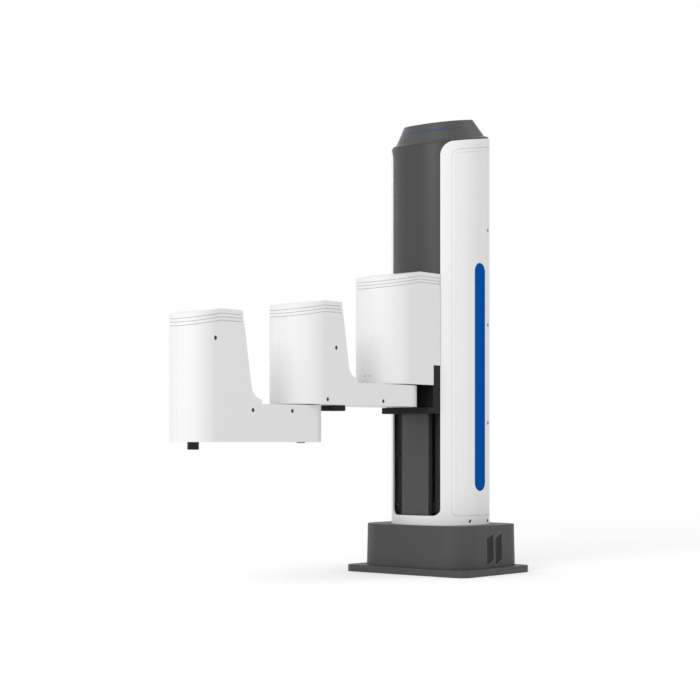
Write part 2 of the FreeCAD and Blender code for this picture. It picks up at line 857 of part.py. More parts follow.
class Arm:
    """Sizes that shape one cover: its plan, roof, beam and sloping back."""

    def __init__(self, root_x, nose_x, half, low_z, beam_z, top_z, crease_x, back_x):
        self.root_x = root_x
        self.nose_x = nose_x
        self.half = half
        self.low_z = low_z
        self.beam_z = beam_z
        self.top_z = top_z
        self.crease_x = crease_x
        self.back_x = back_x

    def roof_z(self, x):
        return self.top_z - max(0.0, x - self.crease_x) * math.tan(math.radians(roof_slant))

    def ledge_x(self):
        """Where the low ledge behind the housing ends."""
        lean = math.radians(back_slant)
        foot = self.back_x - (self.top_z - self.beam_z - back_ledge) * math.tan(lean)
        return foot - back_fillet_r / math.tan((math.pi / 2 + lean) / 2) + ledge_trim

    def plan(self, inset, low, high):
        half = self.half - inset
        wire = rounded_plan(self.root_x - half, self.nose_x + half, half, half, half, low)
        return prism(wire, UP * (high - low))

    def solid(self, inset):
        """Whole outer form, drawn in by an inset on every side but the bottom."""
        x_low = self.root_x - self.half - 5
        x_high = self.nose_x + self.half + 5
        top = self.top_z - inset
        beam = self.beam_z - inset
        ledge = beam + back_ledge
        back = self.back_x + inset
        foot = back - (top - ledge) * math.tan(math.radians(back_slant))
        corners = [
            (x_low, self.low_z - inset, 0),
            (x_high, self.low_z - inset, 0),
            (x_high, self.roof_z(x_high) - inset, 0),
            (self.crease_x, top, 0),
            (back, top, max(roof_back_r - inset, 0)),
            (foot, ledge, back_fillet_r + inset),
            (x_low, ledge, 0),
        ]
        profile = side_profile(corners, -self.half - 5, self.half + 5)
        profile = profile.cut(box(x_low - 1, self.ledge_x() + inset, -self.half - 6, self.half + 6,
                                  beam, ledge + back_fillet_r / 2))
        return profile.common(self.plan(inset, self.low_z - inset - 1, self.top_z + 1))

    def roof_band(self, upper, lower):
        """Band that follows the roof between two depths below it."""
        x_low = self.root_x - self.half - 5
        x_high = self.nose_x + self.half + 5
        corners = [
            (x_low, self.top_z - lower, 0),
            (self.crease_x, self.top_z - lower, 0),
            (x_high, self.roof_z(x_high) - lower, 0),
            (x_high, self.roof_z(x_high) - upper, 0),
            (self.crease_x, self.top_z - upper, 0),
            (x_low, self.top_z - upper, 0),
        ]
        return side_profile(corners, -self.half - 5, self.half + 5)


class Carriage(Arm):
    """Cover of the carriage: no beam, open at the back, hugging the column."""

    def solid(self, inset):
        x_low = self.back_x - 2 * inset
        x_high = self.nose_x + self.half + 5
        corners = [
            (x_low, self.low_z - inset, 0),
            (x_high, self.low_z - inset, 0),
            (x_high, self.roof_z(x_high) - inset, 0),
            (self.crease_x, self.top_z - inset, 0),
            (x_low, self.top_z - inset, 0),
        ]
        profile = side_profile(corners, -self.half - 5, self.half + 5)
        form = profile.common(self.plan(inset, self.low_z - inset - 1, self.top_z + 1))
        return form.cut(column_solid(-carriage_column_gap))


carriage = Carriage(shoulder_x - carriage_reach, shoulder_x + carriage_nose_lead, carriage_half_width,
                    carriage_low_z, carriage_low_z, carriage_top_z, carriage_crease_x,
                    column_front_x - carriage_lap)
inner_arm = Arm(shoulder_x, inner_nose_x, inner_half_width, inner_low_z,
                inner_beam_top_z, inner_top_z, inner_crease_x, inner_back_x)
outer_arm = Arm(elbow_x, outer_nose_x, outer_half_width, outer_low_z,
                outer_beam_top_z, outer_top_z, outer_crease_x, outer_back_x)

# Screw places as (x, z)
inner_screws = ((290.0, 330.5), (308.0, 258.2), (186.5, 258.0))
outer_screws = ((516.9, 333.5), (446.9, 241.3), (369.8, 241.3))
panel_screws = ((-30.8, 522.7), (-30.8, 378.2), (-30.8, 228.5))
skirt_screws = ((13.8, 79.5), (-29.0, 79.5))


def screw_heads(places, face_y, sunk):
    """Round socket heads that look out of a side face, on both sides."""
    heads = []
    for x, z in places:
        y = face_y(x) - sunk
        head = rod_y(x, y - screw_head_tall, y, z, screw_head_r)
        socket = rod_y(x, y - screw_head_tall / 2, y + 1, z, screw_socket_r)
        heads.extend(both_sides(head.cut(socket)))
    return group(heads)


def screw_pockets(places, face_y, sunk):
    """Round pockets for screw heads, a little wider than the heads."""
    pockets = []
    for x, z in places:
        y = face_y(x) - sunk
        pocket = rod_y(x, y - screw_head_tall, y + 5, z, screw_head_r + screw_pocket_gap)
        pockets.extend(both_sides(pocket))
    return group(pockets)


def column_face_y(x):
    """Lowest half-width of the column's outline across a screw head at a place along X."""
    corner_x, corner_y, turn = column_corner()
    front = max(0.0, x + screw_head_r - corner_x)
    back = max(0.0, column_back_x + column_back_r - x + screw_head_r)
    front_y = corner_y + math.sqrt(column_corner_r ** 2 - front ** 2)
    back_y = column_half_width - column_back_r + math.sqrt(column_back_r ** 2 - back ** 2)
    return min(front_y, back_y)


def build_cover(form, name, screws):
    """Cover and lid of one housing, with the grooves round its top."""
    whole = form.solid(0)
    wall = whole.cut(form.solid(cover_wall).fuse(form.plan(cover_wall, form.low_z - 5, form.low_z + 5)))
    above = form.roof_band(-60, lid_depth)
    lid = wall.common(above)
    rim = whole.cut(form.solid(groove_deep))
    for depth in groove_depths:
        band = form.roof_band(depth - groove_height / 2, depth + groove_height / 2)
        lid = lid.cut(rim.common(band))
    save(clean(lid), name + "_lid")
    cover = wall.cut(above)
    if screws:
        cover = cover.cut(screw_pockets(screws, lambda x: form.half, screw_sunk))
        save(screw_heads(screws, lambda x: form.half, screw_sunk), name + "_screws")
        front = form.nose_x + form.half
        cover = cover.cut(box(front - seam_deep, front + 1, -seam_width / 2, seam_width / 2,
                              form.low_z - 1, form.top_z))
    return cover


def flange_radius(reducer_r):
    return reducer_r * flange_share


def hub(x, z0, z1, flange_r):
    return rod(x, 0, z0, z1, flange_r + hub_wall)


def build_carriage():
    """Bracket, slide plate, guide blocks, nut, cover, motor and reducer."""
    cover = build_cover(carriage, "carriage", None)
    notch = box(0, web_front_x + notch_gap, -100, 100, carriage_low_z - 5, notch_top_z)
    cover = cover.cut(notch)
    for y in mark_ys:
        front = carriage.nose_x + math.sqrt(carriage.half ** 2 - y ** 2)
        cover = cover.cut(rod_x(front - mark_deep, front + 5, y, mark_z, mark_r))
    save(clean(cover), "carriage_cover")

    half = bracket_half_width
    web_top = notch_top_z - notch_gap
    web = box(web_back_x, web_front_x, -half, half, web_low_z, web_top)
    for y0 in (-half, half - web_side_width):
        web = web.fuse(box(web_side_back_x, web_back_x + 1, y0, y0 + web_side_width,
                           web_low_z, web_top))
    web = web.fuse(box(web_front_x - 1, lip_front_x, -half, half, web_low_z, web_low_z + lip_thick))
    shelf_half = carriage_half_width - cover_wall - shelf_inset
    upper_x = web_front_x - upper_web_lap
    shelf = prism(rounded_plan(upper_x, carriage.nose_x + shelf_half, shelf_half,
                               shelf_root_r, shelf_half, shelf_low_z), UP * shelf_thick)
    upper = box(upper_x, upper_x + upper_web_thick, -upper_web_half, upper_web_half,
                shelf_low_z, upper_web_top_z)
    bracket = web.fuse(shelf).fuse(upper)
    leg_y = strip_half_width + leg_strip_gap
    plate_x = spine_front_x + block_lift + block_tall + slide_plate_thick
    for side in both_sides(box(plate_x, web_back_x + 1, leg_y, leg_y + leg_thick, leg_low_z, leg_top_z)):
        bracket = bracket.fuse(side)
    flange_r = flange_radius(shoulder_reducer_r)
    bracket = bracket.cut(rod(shoulder_x, 0, shelf_low_z - 1, shelf_low_z + shelf_thick + 1,
                              flange_r + flange_gap))
    save(clean(bracket), "carriage_bracket")

    plate = box(plate_x - slide_plate_thick, plate_x, -slide_plate_half, slide_plate_half,
                slide_plate_low_z, slide_plate_top_z)
    save(plate, "slide_plate")

    blocks = []
    block_back = spine_front_x + block_lift
    for y in (-rail_y, rail_y):
        for z in (slide_plate_low_z + block_end_gap, slide_plate_top_z - block_end_gap - block_length):
            block_half = block_width / 2
            if y < 0:
                y0 = max(y - block_half, -slide_plate_half)
            else:
                y0 = y - block_half
            y1 = min(y0 + block_width, slide_plate_half)
            y0 = y1 - block_width
            block = box(block_back, plate_x - slide_plate_thick, y0, y1, z, z + block_length)
            channel = box(block_back - 1, spine_front_x + rail_height + block_clear,
                          y - rail_width / 2 - block_clear, y + rail_width / 2 + block_clear,
                          z - 1, z + block_length + 1)
            blocks.append(block.cut(channel))
    save(group(blocks), "guide_blocks")

    nut_low = (slide_plate_low_z + slide_plate_top_z - nut_tall) / 2
    nut = box(plate_x, screw_x + nut_nose, -nut_half, nut_half, nut_low, nut_low + nut_tall)
    save(nut.cut(rod(screw_x, 0, nut_low - 1, nut_low + nut_tall + 1, screw_r + screw_running_gap)),
         "lift_nut")

    reducer_low = shelf_low_z + shelf_thick
    reducer_top = reducer_low + shoulder_reducer_tall
    save(rod(shoulder_x, 0, reducer_low, reducer_top, shoulder_reducer_r), "shoulder_reducer")
    save(motor_block(shoulder_x, shoulder_motor_half, reducer_top, shoulder_motor_tall), "shoulder_motor")


def motor_block(x, half, low, tall):
    """Square motor with notched corners and a round back."""
    body_top = low + tall * motor_body_share
    body = box(x - half, x + half, -half, half, low, body_top)
    notch_r = half * motor_notch_share
    for sx in (-half, half):
        for sy in (-half, half):
            body = body.cut(rod(x + sx, sy, low + motor_flange, low + tall, notch_r))
    return clean(body.fuse(rod(x, 0, body_top, low + tall, half * motor_body_share)))


def arm_frame(form, low):
    """Open channel that carries an arm's covers."""
    top = form.beam_z - cover_wall - frame_gap
    inset = cover_wall + frame_gap
    tray = form.plan(inset, low, top)
    return tray.cut(form.plan(inset + frame_wall, low + frame_floor, top + 1))


def build_inner_arm():
    """Frame, covers, elbow drive and hard stop of the inner arm."""
    form = inner_arm
    cover = build_cover(form, "inner_arm", inner_screws)
    shoulder_flange_r = flange_radius(shoulder_reducer_r)
    elbow_flange_r = flange_radius(elbow_reducer_r)
    hub_r = shoulder_flange_r + hub_wall
    cover = cover.cut(rod(shoulder_x, 0, form.beam_z - 10, form.beam_z + 1, hub_r + frame_gap))
    save(clean(cover), "inner_arm_cover")

    low = form.low_z + base_cover_thick
    top = form.beam_z - cover_wall - frame_gap
    frame = arm_frame(form, low)
    frame = frame.fuse(hub(shoulder_x, low, form.beam_z, shoulder_flange_r))
    frame = frame.fuse(hub(elbow_x, form.low_z, top, elbow_flange_r + hub_step))
    frame = frame.cut(rod(elbow_x, 0, form.low_z - 1, top + 1, elbow_flange_r + flange_gap))
    save(clean(frame), "inner_arm_frame")

    base = form.plan(cover_wall + frame_gap, form.low_z, low)
    base = base.cut(rod(elbow_x, 0, form.low_z - 1, low + 1,
                        elbow_flange_r + hub_step + hub_wall + frame_gap))
    save(base, "inner_arm_base_cover")
    stop = side_profile([
        (stop_back_x, stop_low_z, stop_edge_r), (stop_front_x, stop_low_z, stop_edge_r),
        (stop_front_x, form.low_z, 0), (stop_back_x, form.low_z, 0),
    ], -stop_half_width, stop_half_width)
    save(stop, "elbow_stop")
    save(rod(shoulder_x, 0, form.beam_z, shelf_low_z + shelf_thick - flange_gap, shoulder_flange_r),
         "shoulder_flange")
    reducer_top = top + elbow_reducer_tall
    save(rod(elbow_x, 0, top, reducer_top, elbow_reducer_r), "elbow_reducer")
    save(motor_block(elbow_x, elbow_motor_half, reducer_top, elbow_motor_tall), "elbow_motor")


def build_outer_arm():
    """Frame, covers, spindle bearings and motor of the outer arm."""
    form = outer_arm
    flange_r = flange_radius(elbow_reducer_r)
    cover = build_cover(form, "outer_arm", outer_screws)
    cover = cover.cut(rod(elbow_x, 0, form.beam_z - 10, form.beam_z + 1, flange_r + hub_wall + frame_gap))
    save(clean(cover), "outer_arm_cover")

    low = form.low_z + base_cover_thick
    bearing_seat = spindle_bearing_high_z + spindle_bearing_tall
    frame = arm_frame(form, low)
    frame = frame.fuse(hub(elbow_x, low, form.beam_z, flange_r))
    frame = frame.fuse(rod(spindle_x, 0, low, bearing_seat, spindle_bearing_r + hub_step))
    frame = frame.cut(rod(spindle_x, 0, low - 1, bearing_seat + 1, spindle_bearing_r))
    save(clean(frame), "outer_arm_frame")
    rings = []
    shaft_r = spindle_r + spindle_step
    for z in (spindle_bearing_low_z, spindle_bearing_high_z):
        ring = rod(spindle_x, 0, z, z + spindle_bearing_tall, spindle_bearing_r)
        rings.append(ring.cut(rod(spindle_x, 0, z - 1, z + spindle_bearing_tall + 1,
                                  shaft_r + spindle_running_gap)))
    save(group(rings), "spindle_bearings")

    base = form.plan(cover_wall + frame_gap, form.low_z, low)
    base = base.cut(rod(spindle_x, 0, form.low_z - 1, low + 1, shaft_r + flange_gap))
    save(base, "outer_arm_base_cover")
    save(rod(plug_x, 0, form.low_z - plug_stand, form.low_z, plug_r), "access_plug")
    top = inner_beam_top_z - cover_wall - frame_gap
    save(rod(elbow_x, 0, form.beam_z, top - flange_gap, flange_r), "elbow_flange")

    ring = rod(spindle_x, 0, bearing_seat, spindle_motor_low_z, spindle_motor_half)
    save(ring.cut(rod(spindle_x, 0, bearing_seat - 1, spindle_motor_low_z + 1,
                      spindle_collar_r + collar_gap)), "motor_adapter")
    motor = motor_block(spindle_x, spindle_motor_half, spindle_motor_low_z, spindle_motor_tall)
    bore = rod(spindle_x, 0, spindle_motor_low_z - 1, spindle_motor_low_z + spindle_stub_long + 2,
               spindle_stub_r + screw_running_gap)
    save(motor.cut(bore), "spindle_motor")


def build_spindle():
    """Tool spindle with its end thread, and the coupling to its motor."""
    tip = outer_low_z - spindle_stand
    shaft_r = spindle_r + spindle_step
    shaft = rod(spindle_x, 0, tip, outer_low_z, spindle_r)
    shaft = shaft.fuse(rod(spindle_x, 0, outer_low_z, spindle_top_z, shaft_r))
    shaft = shaft.cut(rod(spindle_x, 0, tip - 1, tip + spindle_bore_deep, spindle_bore_r))
    save(clean(shaft), "tool_spindle")
    coupling_low = spindle_bearing_high_z + spindle_bearing_tall + coupling_end_gap
    coupling_top = spindle_motor_low_z - coupling_motor_gap
    coupling = rod(spindle_x, 0, coupling_low, coupling_top, spindle_collar_r)
    coupling = coupling.cut(rod(spindle_x, 0, coupling_low - 1, spindle_top_z, shaft_r))
    coupling = coupling.fuse(rod(spindle_x, 0, spindle_top_z, spindle_motor_low_z + spindle_stub_long,
                                 spindle_stub_r))
    save(clean(coupling), "spindle_coupling")


save(build_base_plate(), "base_plate")
save(build_base_housing(), "base_housing")
save(build_connector_panel(), "connector_panel")
save(socket_cup(inlet_y, inlet_width, inlet_height, inlet_deep), "power_inlet")
save(group(socket_cup(y, port_width, port_height, port_deep) for y in port_ys), "data_ports")
build_electronics()
build_column_covers()
build_cap()
build_column_inside()
build_lift_drive()
build_carriage()
build_inner_arm()
build_outer_arm()
build_spindle()
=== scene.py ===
"""Visual model of a desktop SCARA robot with a lifting carriage, dressed round its CAD frame."""

import json
import logging
import math
from dataclasses import dataclass, field
from enum import Enum

import bmesh
import bpy
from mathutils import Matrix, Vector


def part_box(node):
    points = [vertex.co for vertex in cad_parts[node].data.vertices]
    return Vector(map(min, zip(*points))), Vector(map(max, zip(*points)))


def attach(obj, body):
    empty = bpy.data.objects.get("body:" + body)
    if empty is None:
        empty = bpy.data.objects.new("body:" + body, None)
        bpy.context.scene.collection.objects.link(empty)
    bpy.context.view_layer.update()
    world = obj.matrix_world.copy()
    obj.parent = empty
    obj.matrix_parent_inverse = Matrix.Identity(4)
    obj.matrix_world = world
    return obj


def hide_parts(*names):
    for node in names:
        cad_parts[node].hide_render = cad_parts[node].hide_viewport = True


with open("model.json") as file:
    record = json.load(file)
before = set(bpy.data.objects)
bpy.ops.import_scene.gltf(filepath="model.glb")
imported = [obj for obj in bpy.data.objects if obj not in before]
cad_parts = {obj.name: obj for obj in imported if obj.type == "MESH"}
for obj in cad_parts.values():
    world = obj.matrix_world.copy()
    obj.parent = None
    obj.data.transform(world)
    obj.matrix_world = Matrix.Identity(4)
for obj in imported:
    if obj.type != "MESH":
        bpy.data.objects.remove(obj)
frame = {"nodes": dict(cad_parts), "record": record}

LOG = logging.getLogger("scara")
MM = 0.001
# Finishes get their own material names, apart from the frame's own materials
FINISH_MARK = "_finish"
MERGE_DISTANCE = 0.002 * MM

# Noise behind the finishes; the scales are per metre
FLOW_SCALE = 22.0
FLOW_DETAIL = 3.0
CLOUD_SCALE = 9.0
CLOUD_DETAIL = 5.0
SATIN_DETAIL = 2.0
COARSE_DETAIL = 4.0
# Scale of a brushed or turned grain along its run, where it is 1 across
GRAIN_DRAW = 0.04
POWDER_BUMP = 0.35
EVEN_BUMP = 0.2


class Grain(Enum):
    """The surface relief that a finish carries."""

    NONE = "none"
    SATIN = "satin"
    POWDER = "powder"
    BRUSHED = "brushed"
    TURNED = "turned"


@dataclass(frozen=True)
class Finish:
    """One surface finish, written in the shader's own sockets."""

    name: str
    colour: tuple[float, float, float]
    roughness: float
    slot: str
    metallic: float = 0.0
    specular: float = 0.5
    coat: float = 0.0
    coat_roughness: float = 0.1
    grain: Grain = Grain.NONE
    grain_size: float = 1.0 * MM
    grain_depth: float = 0.01 * MM
    wear: float = 0.04
    shade: float = 0.0

    def material(self) -> bpy.types.Material:
        """The Blender material of this finish, made once.

        Returns:
            The material, with roughness broken up by noise and the finish's relief as a bump.
        """
        known = bpy.data.materials.get(self.name + FINISH_MARK)
        if known:
            return known
        made = bpy.data.materials.new(self.name + FINISH_MARK)
        made.use_nodes = True
        made.diffuse_color = (*self.colour, 1.0)
        shader = made.node_tree.nodes["Principled BSDF"]
        shader.inputs["Base Color"].default_value = (*self.colour, 1.0)
        shader.inputs["Metallic"].default_value = self.metallic
        shader.inputs["Specular IOR Level"].default_value = self.specular
        shader.inputs["Coat Weight"].default_value = self.coat
        shader.inputs["Coat Roughness"].default_value = self.coat_roughness
        shader.inputs["Roughness"].default_value = self.roughness
        place = made.node_tree.nodes.new("ShaderNodeTexCoord")
        self._vary_roughness(made, shader, place)
        self._tint(made, shader, place)
        if self.grain is not Grain.NONE:
            self._relief(made, shader, place)
        return made

    def _vary_roughness(self, made: bpy.types.Material, shader: bpy.types.ShaderNode,
                        place: bpy.types.ShaderNode) -> None:
        """Hand marks and mould flow: a slow change of roughness over the surface.

        Args:
            made: the material that is being built.
            shader: its principled shader.
            place: its texture coordinate node.
        """
        nodes, links = made.node_tree.nodes, made.node_tree.links
        flow = nodes.new("ShaderNodeTexNoise")
        flow.inputs["Scale"].default_value = FLOW_SCALE
        flow.inputs["Detail"].default_value = FLOW_DETAIL
        spread = nodes.new("ShaderNodeMapRange")
        spread.inputs["To Min"].default_value = max(0.0, self.roughness - self.wear)
        spread.inputs["To Max"].default_value = min(1.0, self.roughness + self.wear)
        links.new(place.outputs["Object"], flow.inputs["Vector"])
        links.new(flow.outputs["Fac"], spread.inputs["Value"])
        links.new(spread.outputs["Result"], shader.inputs["Roughness"])

    def _tint(self, made: bpy.types.Material, shader: bpy.types.ShaderNode,
              place: bpy.types.ShaderNode) -> None:
        """A slight uneven shade in the colour, where the finish has one.

        Args:
            made: the material that is being built.
            shader: its principled shader.
            place: its texture coordinate node.
        """
        if self.shade <= 0:
            return
        nodes, links = made.node_tree.nodes, made.node_tree.links
        cloud = nodes.new("ShaderNodeTexNoise")
        cloud.inputs["Scale"].default_value = CLOUD_SCALE
        cloud.inputs["Detail"].default_value = CLOUD_DETAIL
        mix = nodes.new("ShaderNodeMix")
        mix.data_type = "RGBA"
        darker = [part * (1 - self.shade) for part in self.colour]
        lighter = [min(1.0, part * (1 + self.shade)) for part in self.colour]
        mix.inputs["A"].default_value = (*darker, 1.0)
        mix.inputs["B"].default_value = (*lighter, 1.0)
        links.new(place.outputs["Object"], cloud.inputs["Vector"])
        links.new(cloud.outputs["Fac"], mix.inputs["Factor"])
        links.new(mix.outputs["Result"], shader.inputs["Base Color"])

    def _relief(self, made: bpy.types.Material, shader: bpy.types.ShaderNode,
                place: bpy.types.ShaderNode) -> None:
        """The fine relief of the finish, as a bump.

        Args:
            made: the material that is being built.
            shader: its principled shader.
            place: its texture coordinate node.
        """
        nodes, links = made.node_tree.nodes, made.node_tree.links
        stretch = nodes.new("ShaderNodeMapping")
        if self.grain is Grain.BRUSHED:
            stretch.inputs["Scale"].default_value = (1.0, 1.0, GRAIN_DRAW)
        if self.grain is Grain.TURNED:
            stretch.inputs["Scale"].default_value = (GRAIN_DRAW, GRAIN_DRAW, 1.0)
        grit = nodes.new("ShaderNodeTexNoise")
        grit.inputs["Scale"].default_value = 1.0 / self.grain_size
        fine = self.grain is Grain.SATIN
        grit.inputs["Detail"].default_value = SATIN_DETAIL if fine else COARSE_DETAIL
        bump = nodes.new("ShaderNodeBump")
        coarse = self.grain is Grain.POWDER
        bump.inputs["Strength"].default_value = POWDER_BUMP if coarse else EVEN_BUMP
        bump.inputs["Distance"].default_value = self.grain_depth
        links.new(place.outputs["Object"], stretch.inputs["Vector"])
        links.new(stretch.outputs["Vector"], grit.inputs["Vector"])
        links.new(grit.outputs["Fac"], bump.inputs["Height"])
        links.new(bump.outputs["Normal"], shader.inputs["Normal"])


@dataclass(frozen=True)
class FadingLight(Finish):
    """A lit strip round the front that fades into the cover's colour towards its ends, along X."""

    dark: tuple[float, float, float] = (0.045, 0.045, 0.048)
    bright_x: float = 44.0 * MM
    faded_x: float = 14.0 * MM
    glow: float = 0.22

    def material(self) -> bpy.types.Material:
        """The Blender material of this light, made once.

        Returns:
            The material, whose colour and glow fall off towards the back.
        """
        known = bpy.data.materials.get(self.name + FINISH_MARK)
        if known:
            return known
        made = super().material()
        nodes, links = made.node_tree.nodes, made.node_tree.links
        shader = nodes["Principled BSDF"]
        place = nodes["Texture Coordinate"]
        parts = nodes.new("ShaderNodeSeparateXYZ")
        fall = nodes.new("ShaderNodeMapRange")
        fall.interpolation_type = "SMOOTHSTEP"
        fall.inputs["From Min"].default_value = self.faded_x
        fall.inputs["From Max"].default_value = self.bright_x
        mix = nodes.new("ShaderNodeMix")
        mix.data_type = "RGBA"
        mix.inputs["A"].default_value = (*self.dark, 1.0)
        mix.inputs["B"].default_value = (*self.colour, 1.0)
        power = nodes.new("ShaderNodeMath")
        power.operation = "MULTIPLY"
        power.inputs[1].default_value = self.glow
        shader.inputs["Emission Color"].default_value = (*self.colour, 1.0)
        links.new(place.outputs["Object"], parts.inputs["Vector"])
        links.new(parts.outputs["X"], fall.inputs["Value"])
        links.new(fall.outputs["Result"], mix.inputs["Factor"])
        links.new(mix.outputs["Result"], shader.inputs["Base Color"])
        links.new(fall.outputs["Result"], power.inputs[0])
        links.new(power.outputs[0], shader.inputs["Emission Strength"])
        return made


WHITE_COVER = Finish("white_cover", (0.80, 0.80, 0.805), 0.38, "white_cover", coat=0.10,
                     coat_roughness=0.25, grain=Grain.SATIN, grain_size=0.9 * MM,
                     grain_depth=0.004 * MM)
WHITE_SHELL = Finish("white_shell", (0.80, 0.80, 0.805), 0.34, "white_cover", coat=0.12,
                     coat_roughness=0.22, grain=Grain.SATIN, grain_size=0.9 * MM,
                     grain_depth=0.004 * MM)
DARK_COVER = Finish("dark_cover", (0.043, 0.043, 0.044), 0.38, "dark_cover", specular=0.38,
                    grain=Grain.SATIN, grain_size=0.8 * MM, grain_depth=0.01 * MM)
CAP_DARK = Finish("cap_dark", (0.059, 0.059, 0.060), 0.38, "dark_cover", specular=0.38,
                  grain=Grain.SATIN, grain_size=0.8 * MM, grain_depth=0.01 * MM)
STRIP_DARK = Finish("strip_dark", (0.050, 0.050, 0.052), 0.36, "dark_cover", grain=Grain.BRUSHED,
                    grain_size=0.5 * MM, grain_depth=0.004 * MM)
LINER_DARK = Finish("liner_dark", (0.016, 0.016, 0.0165), 0.5, "dark_cover", specular=0.3,
                    grain=Grain.SATIN, grain_size=0.8 * MM, grain_depth=0.01 * MM)
BASE_COAT = Finish("base_coat", (0.048, 0.048, 0.051), 0.55, "base_paint", grain=Grain.POWDER,
                   grain_size=0.7 * MM, grain_depth=0.04 * MM, shade=0.04)
STRIPE_BLUE = Finish("stripe_blue", (0.003, 0.084, 0.365), 0.34, "stripe_blue", specular=0.0,
                     grain=Grain.SATIN, grain_size=0.9 * MM, grain_depth=0.004 * MM)
BRACKET_BLACK = Finish("bracket_black", (0.010, 0.010, 0.0105), 0.45, "black_bracket",
                       specular=0.16, grain=Grain.POWDER, grain_size=0.5 * MM,
                       grain_depth=0.015 * MM)
# Painted shade: the spine's near-black colour stands in for the darkness inside the column, seen
# through the front slot
SPINE_PAINTED_SHADE = Finish("spine_painted_shade", (0.03, 0.03, 0.03), 0.6, "black_bracket",
                     grain=Grain.POWDER, grain_size=0.5 * MM, grain_depth=0.015 * MM)
CAST_ALUMINIUM = Finish("cast_aluminium", (0.58, 0.585, 0.60), 0.45, "bare_aluminium",
                        metallic=1.0, grain=Grain.POWDER, grain_size=0.6 * MM,
                        grain_depth=0.02 * MM, shade=0.05)
TURNED_ALUMINIUM = Finish("turned_aluminium", (0.66, 0.665, 0.68), 0.28, "bare_aluminium",
                          metallic=1.0, grain=Grain.TURNED, grain_size=0.25 * MM,
                          grain_depth=0.004 * MM)
GROUND_STEEL = Finish("ground_steel", (0.55, 0.555, 0.57), 0.22, "bright_steel", metallic=1.0,
                      grain=Grain.BRUSHED, grain_size=0.2 * MM, grain_depth=0.003 * MM)
MOTOR_BLACK = Finish("motor_black", (0.022, 0.022, 0.025), 0.4, "motor_black", metallic=0.3,
                     grain=Grain.POWDER, grain_size=0.5 * MM, grain_depth=0.015 * MM)
OXIDE_STEEL = Finish("oxide_steel", (0.085, 0.085, 0.088), 0.38, "screw_black", metallic=0.6,
                     grain=Grain.TURNED, grain_size=0.3 * MM, grain_depth=0.003 * MM)
SPINDLE_STEEL = Finish("spindle_steel", (0.010, 0.010, 0.011), 0.34, "spindle_black",
                       metallic=0.6, grain=Grain.TURNED, grain_size=0.25 * MM,
                       grain_depth=0.004 * MM)
BELT_RUBBER = Finish("belt_rubber", (0.018, 0.018, 0.018), 0.7, "belt_rubber",
                     grain=Grain.POWDER, grain_size=0.5 * MM, grain_depth=0.02 * MM)
PANEL_GREY = Finish("panel_grey", (0.16, 0.162, 0.168), 0.5, "electronics_grey",
                    grain=Grain.POWDER, grain_size=0.7 * MM, grain_depth=0.03 * MM, shade=0.04)
BOARD_GREEN = Finish("board_green", (0.012, 0.11, 0.045), 0.3, "board_green", coat=0.3)
SOCKET_BLACK = Finish("socket_black", (0.016, 0.016, 0.018), 0.48, "socket_black",
                      grain=Grain.SATIN, grain_size=0.7 * MM, grain_depth=0.008 * MM)
CONTACT_GOLD = Finish("contact_gold", (0.78, 0.55, 0.22), 0.25, "bright_steel", metallic=1.0)
STATUS_BLUE = FadingLight("status_blue", (0.018, 0.032, 0.145), 0.25, "light_blue")


def merged(node: str) -> bmesh.types.BMesh:
    """A working copy of a CAD node's mesh, its loose triangles joined.

    Args:
        node: the CAD node's name.

    Returns:
        The copy, which the caller frees.
    """
    work = bmesh.new()
    work.from_mesh(frame["nodes"][node].data)
    bmesh.ops.remove_doubles(work, verts=work.verts, dist=MERGE_DISTANCE)
    return work


def islands(node: str) -> list[tuple[Vector, Vector]]:
    """The box of each separate solid in a CAD node.

    Args:
        node: the CAD node's name.

    Returns:
        The lowest and the highest corner of each solid, in metres.
    """
    work = merged(node)
    left = set(work.verts)
    boxes = []
    while left:
        front = [left.pop()]
        members = list(front)
        while front:
            for edge in front.pop().link_edges:
                for vert in edge.verts:
                    if vert in left:
                        left.remove(vert)
                        front.append(vert)
                        members.append(vert)
        boxes.append((Vector(min(v.co[i] for v in members) for i in range(3)),
                      Vector(max(v.co[i] for v in members) for i in range(3))))
    work.free()
    return sorted(boxes, key=lambda pair: tuple(pair[0]))


def shade(mesh: bpy.types.Mesh, sharp: float = math.radians(30.0)) -> None:
    """Smooth shading with hard lines where faces meet at more than an angle.

    Args:
        mesh: the mesh to shade.
        sharp: the angle in radians.
    """
    work = bmesh.new()
    work.from_mesh(mesh)
    for face in work.faces:
        face.smooth = True
    for edge in work.edges:
        if len(edge.link_faces) == 2:
            edge.smooth = edge.calc_face_angle(math.pi) < sharp
    work.to_mesh(mesh)
    work.free()


@dataclass(frozen=True)
class Spot:
    """A place that carries one repeated item, and the way that the item faces."""

    at: Vector
    aim: Vector


def spots_mesh(name: str, spots: list[Spot]) -> bpy.types.Mesh:
    """A mesh of bare points, each with the way that its item faces.

    Args:
        name: the mesh's name.
        spots: the places, in metres.

    Returns:
        The mesh, with the directions in its "aim" attribute.
    """
    mesh = bpy.data.meshes.new(name)
    mesh.from_pydata([tuple(spot.at) for spot in spots], [], [])
    aims = mesh.attributes.new("aim", "FLOAT_VECTOR", "POINT")
    for i, spot in enumerate(spots):
        aims.data[i].vector = spot.aim
    return mesh


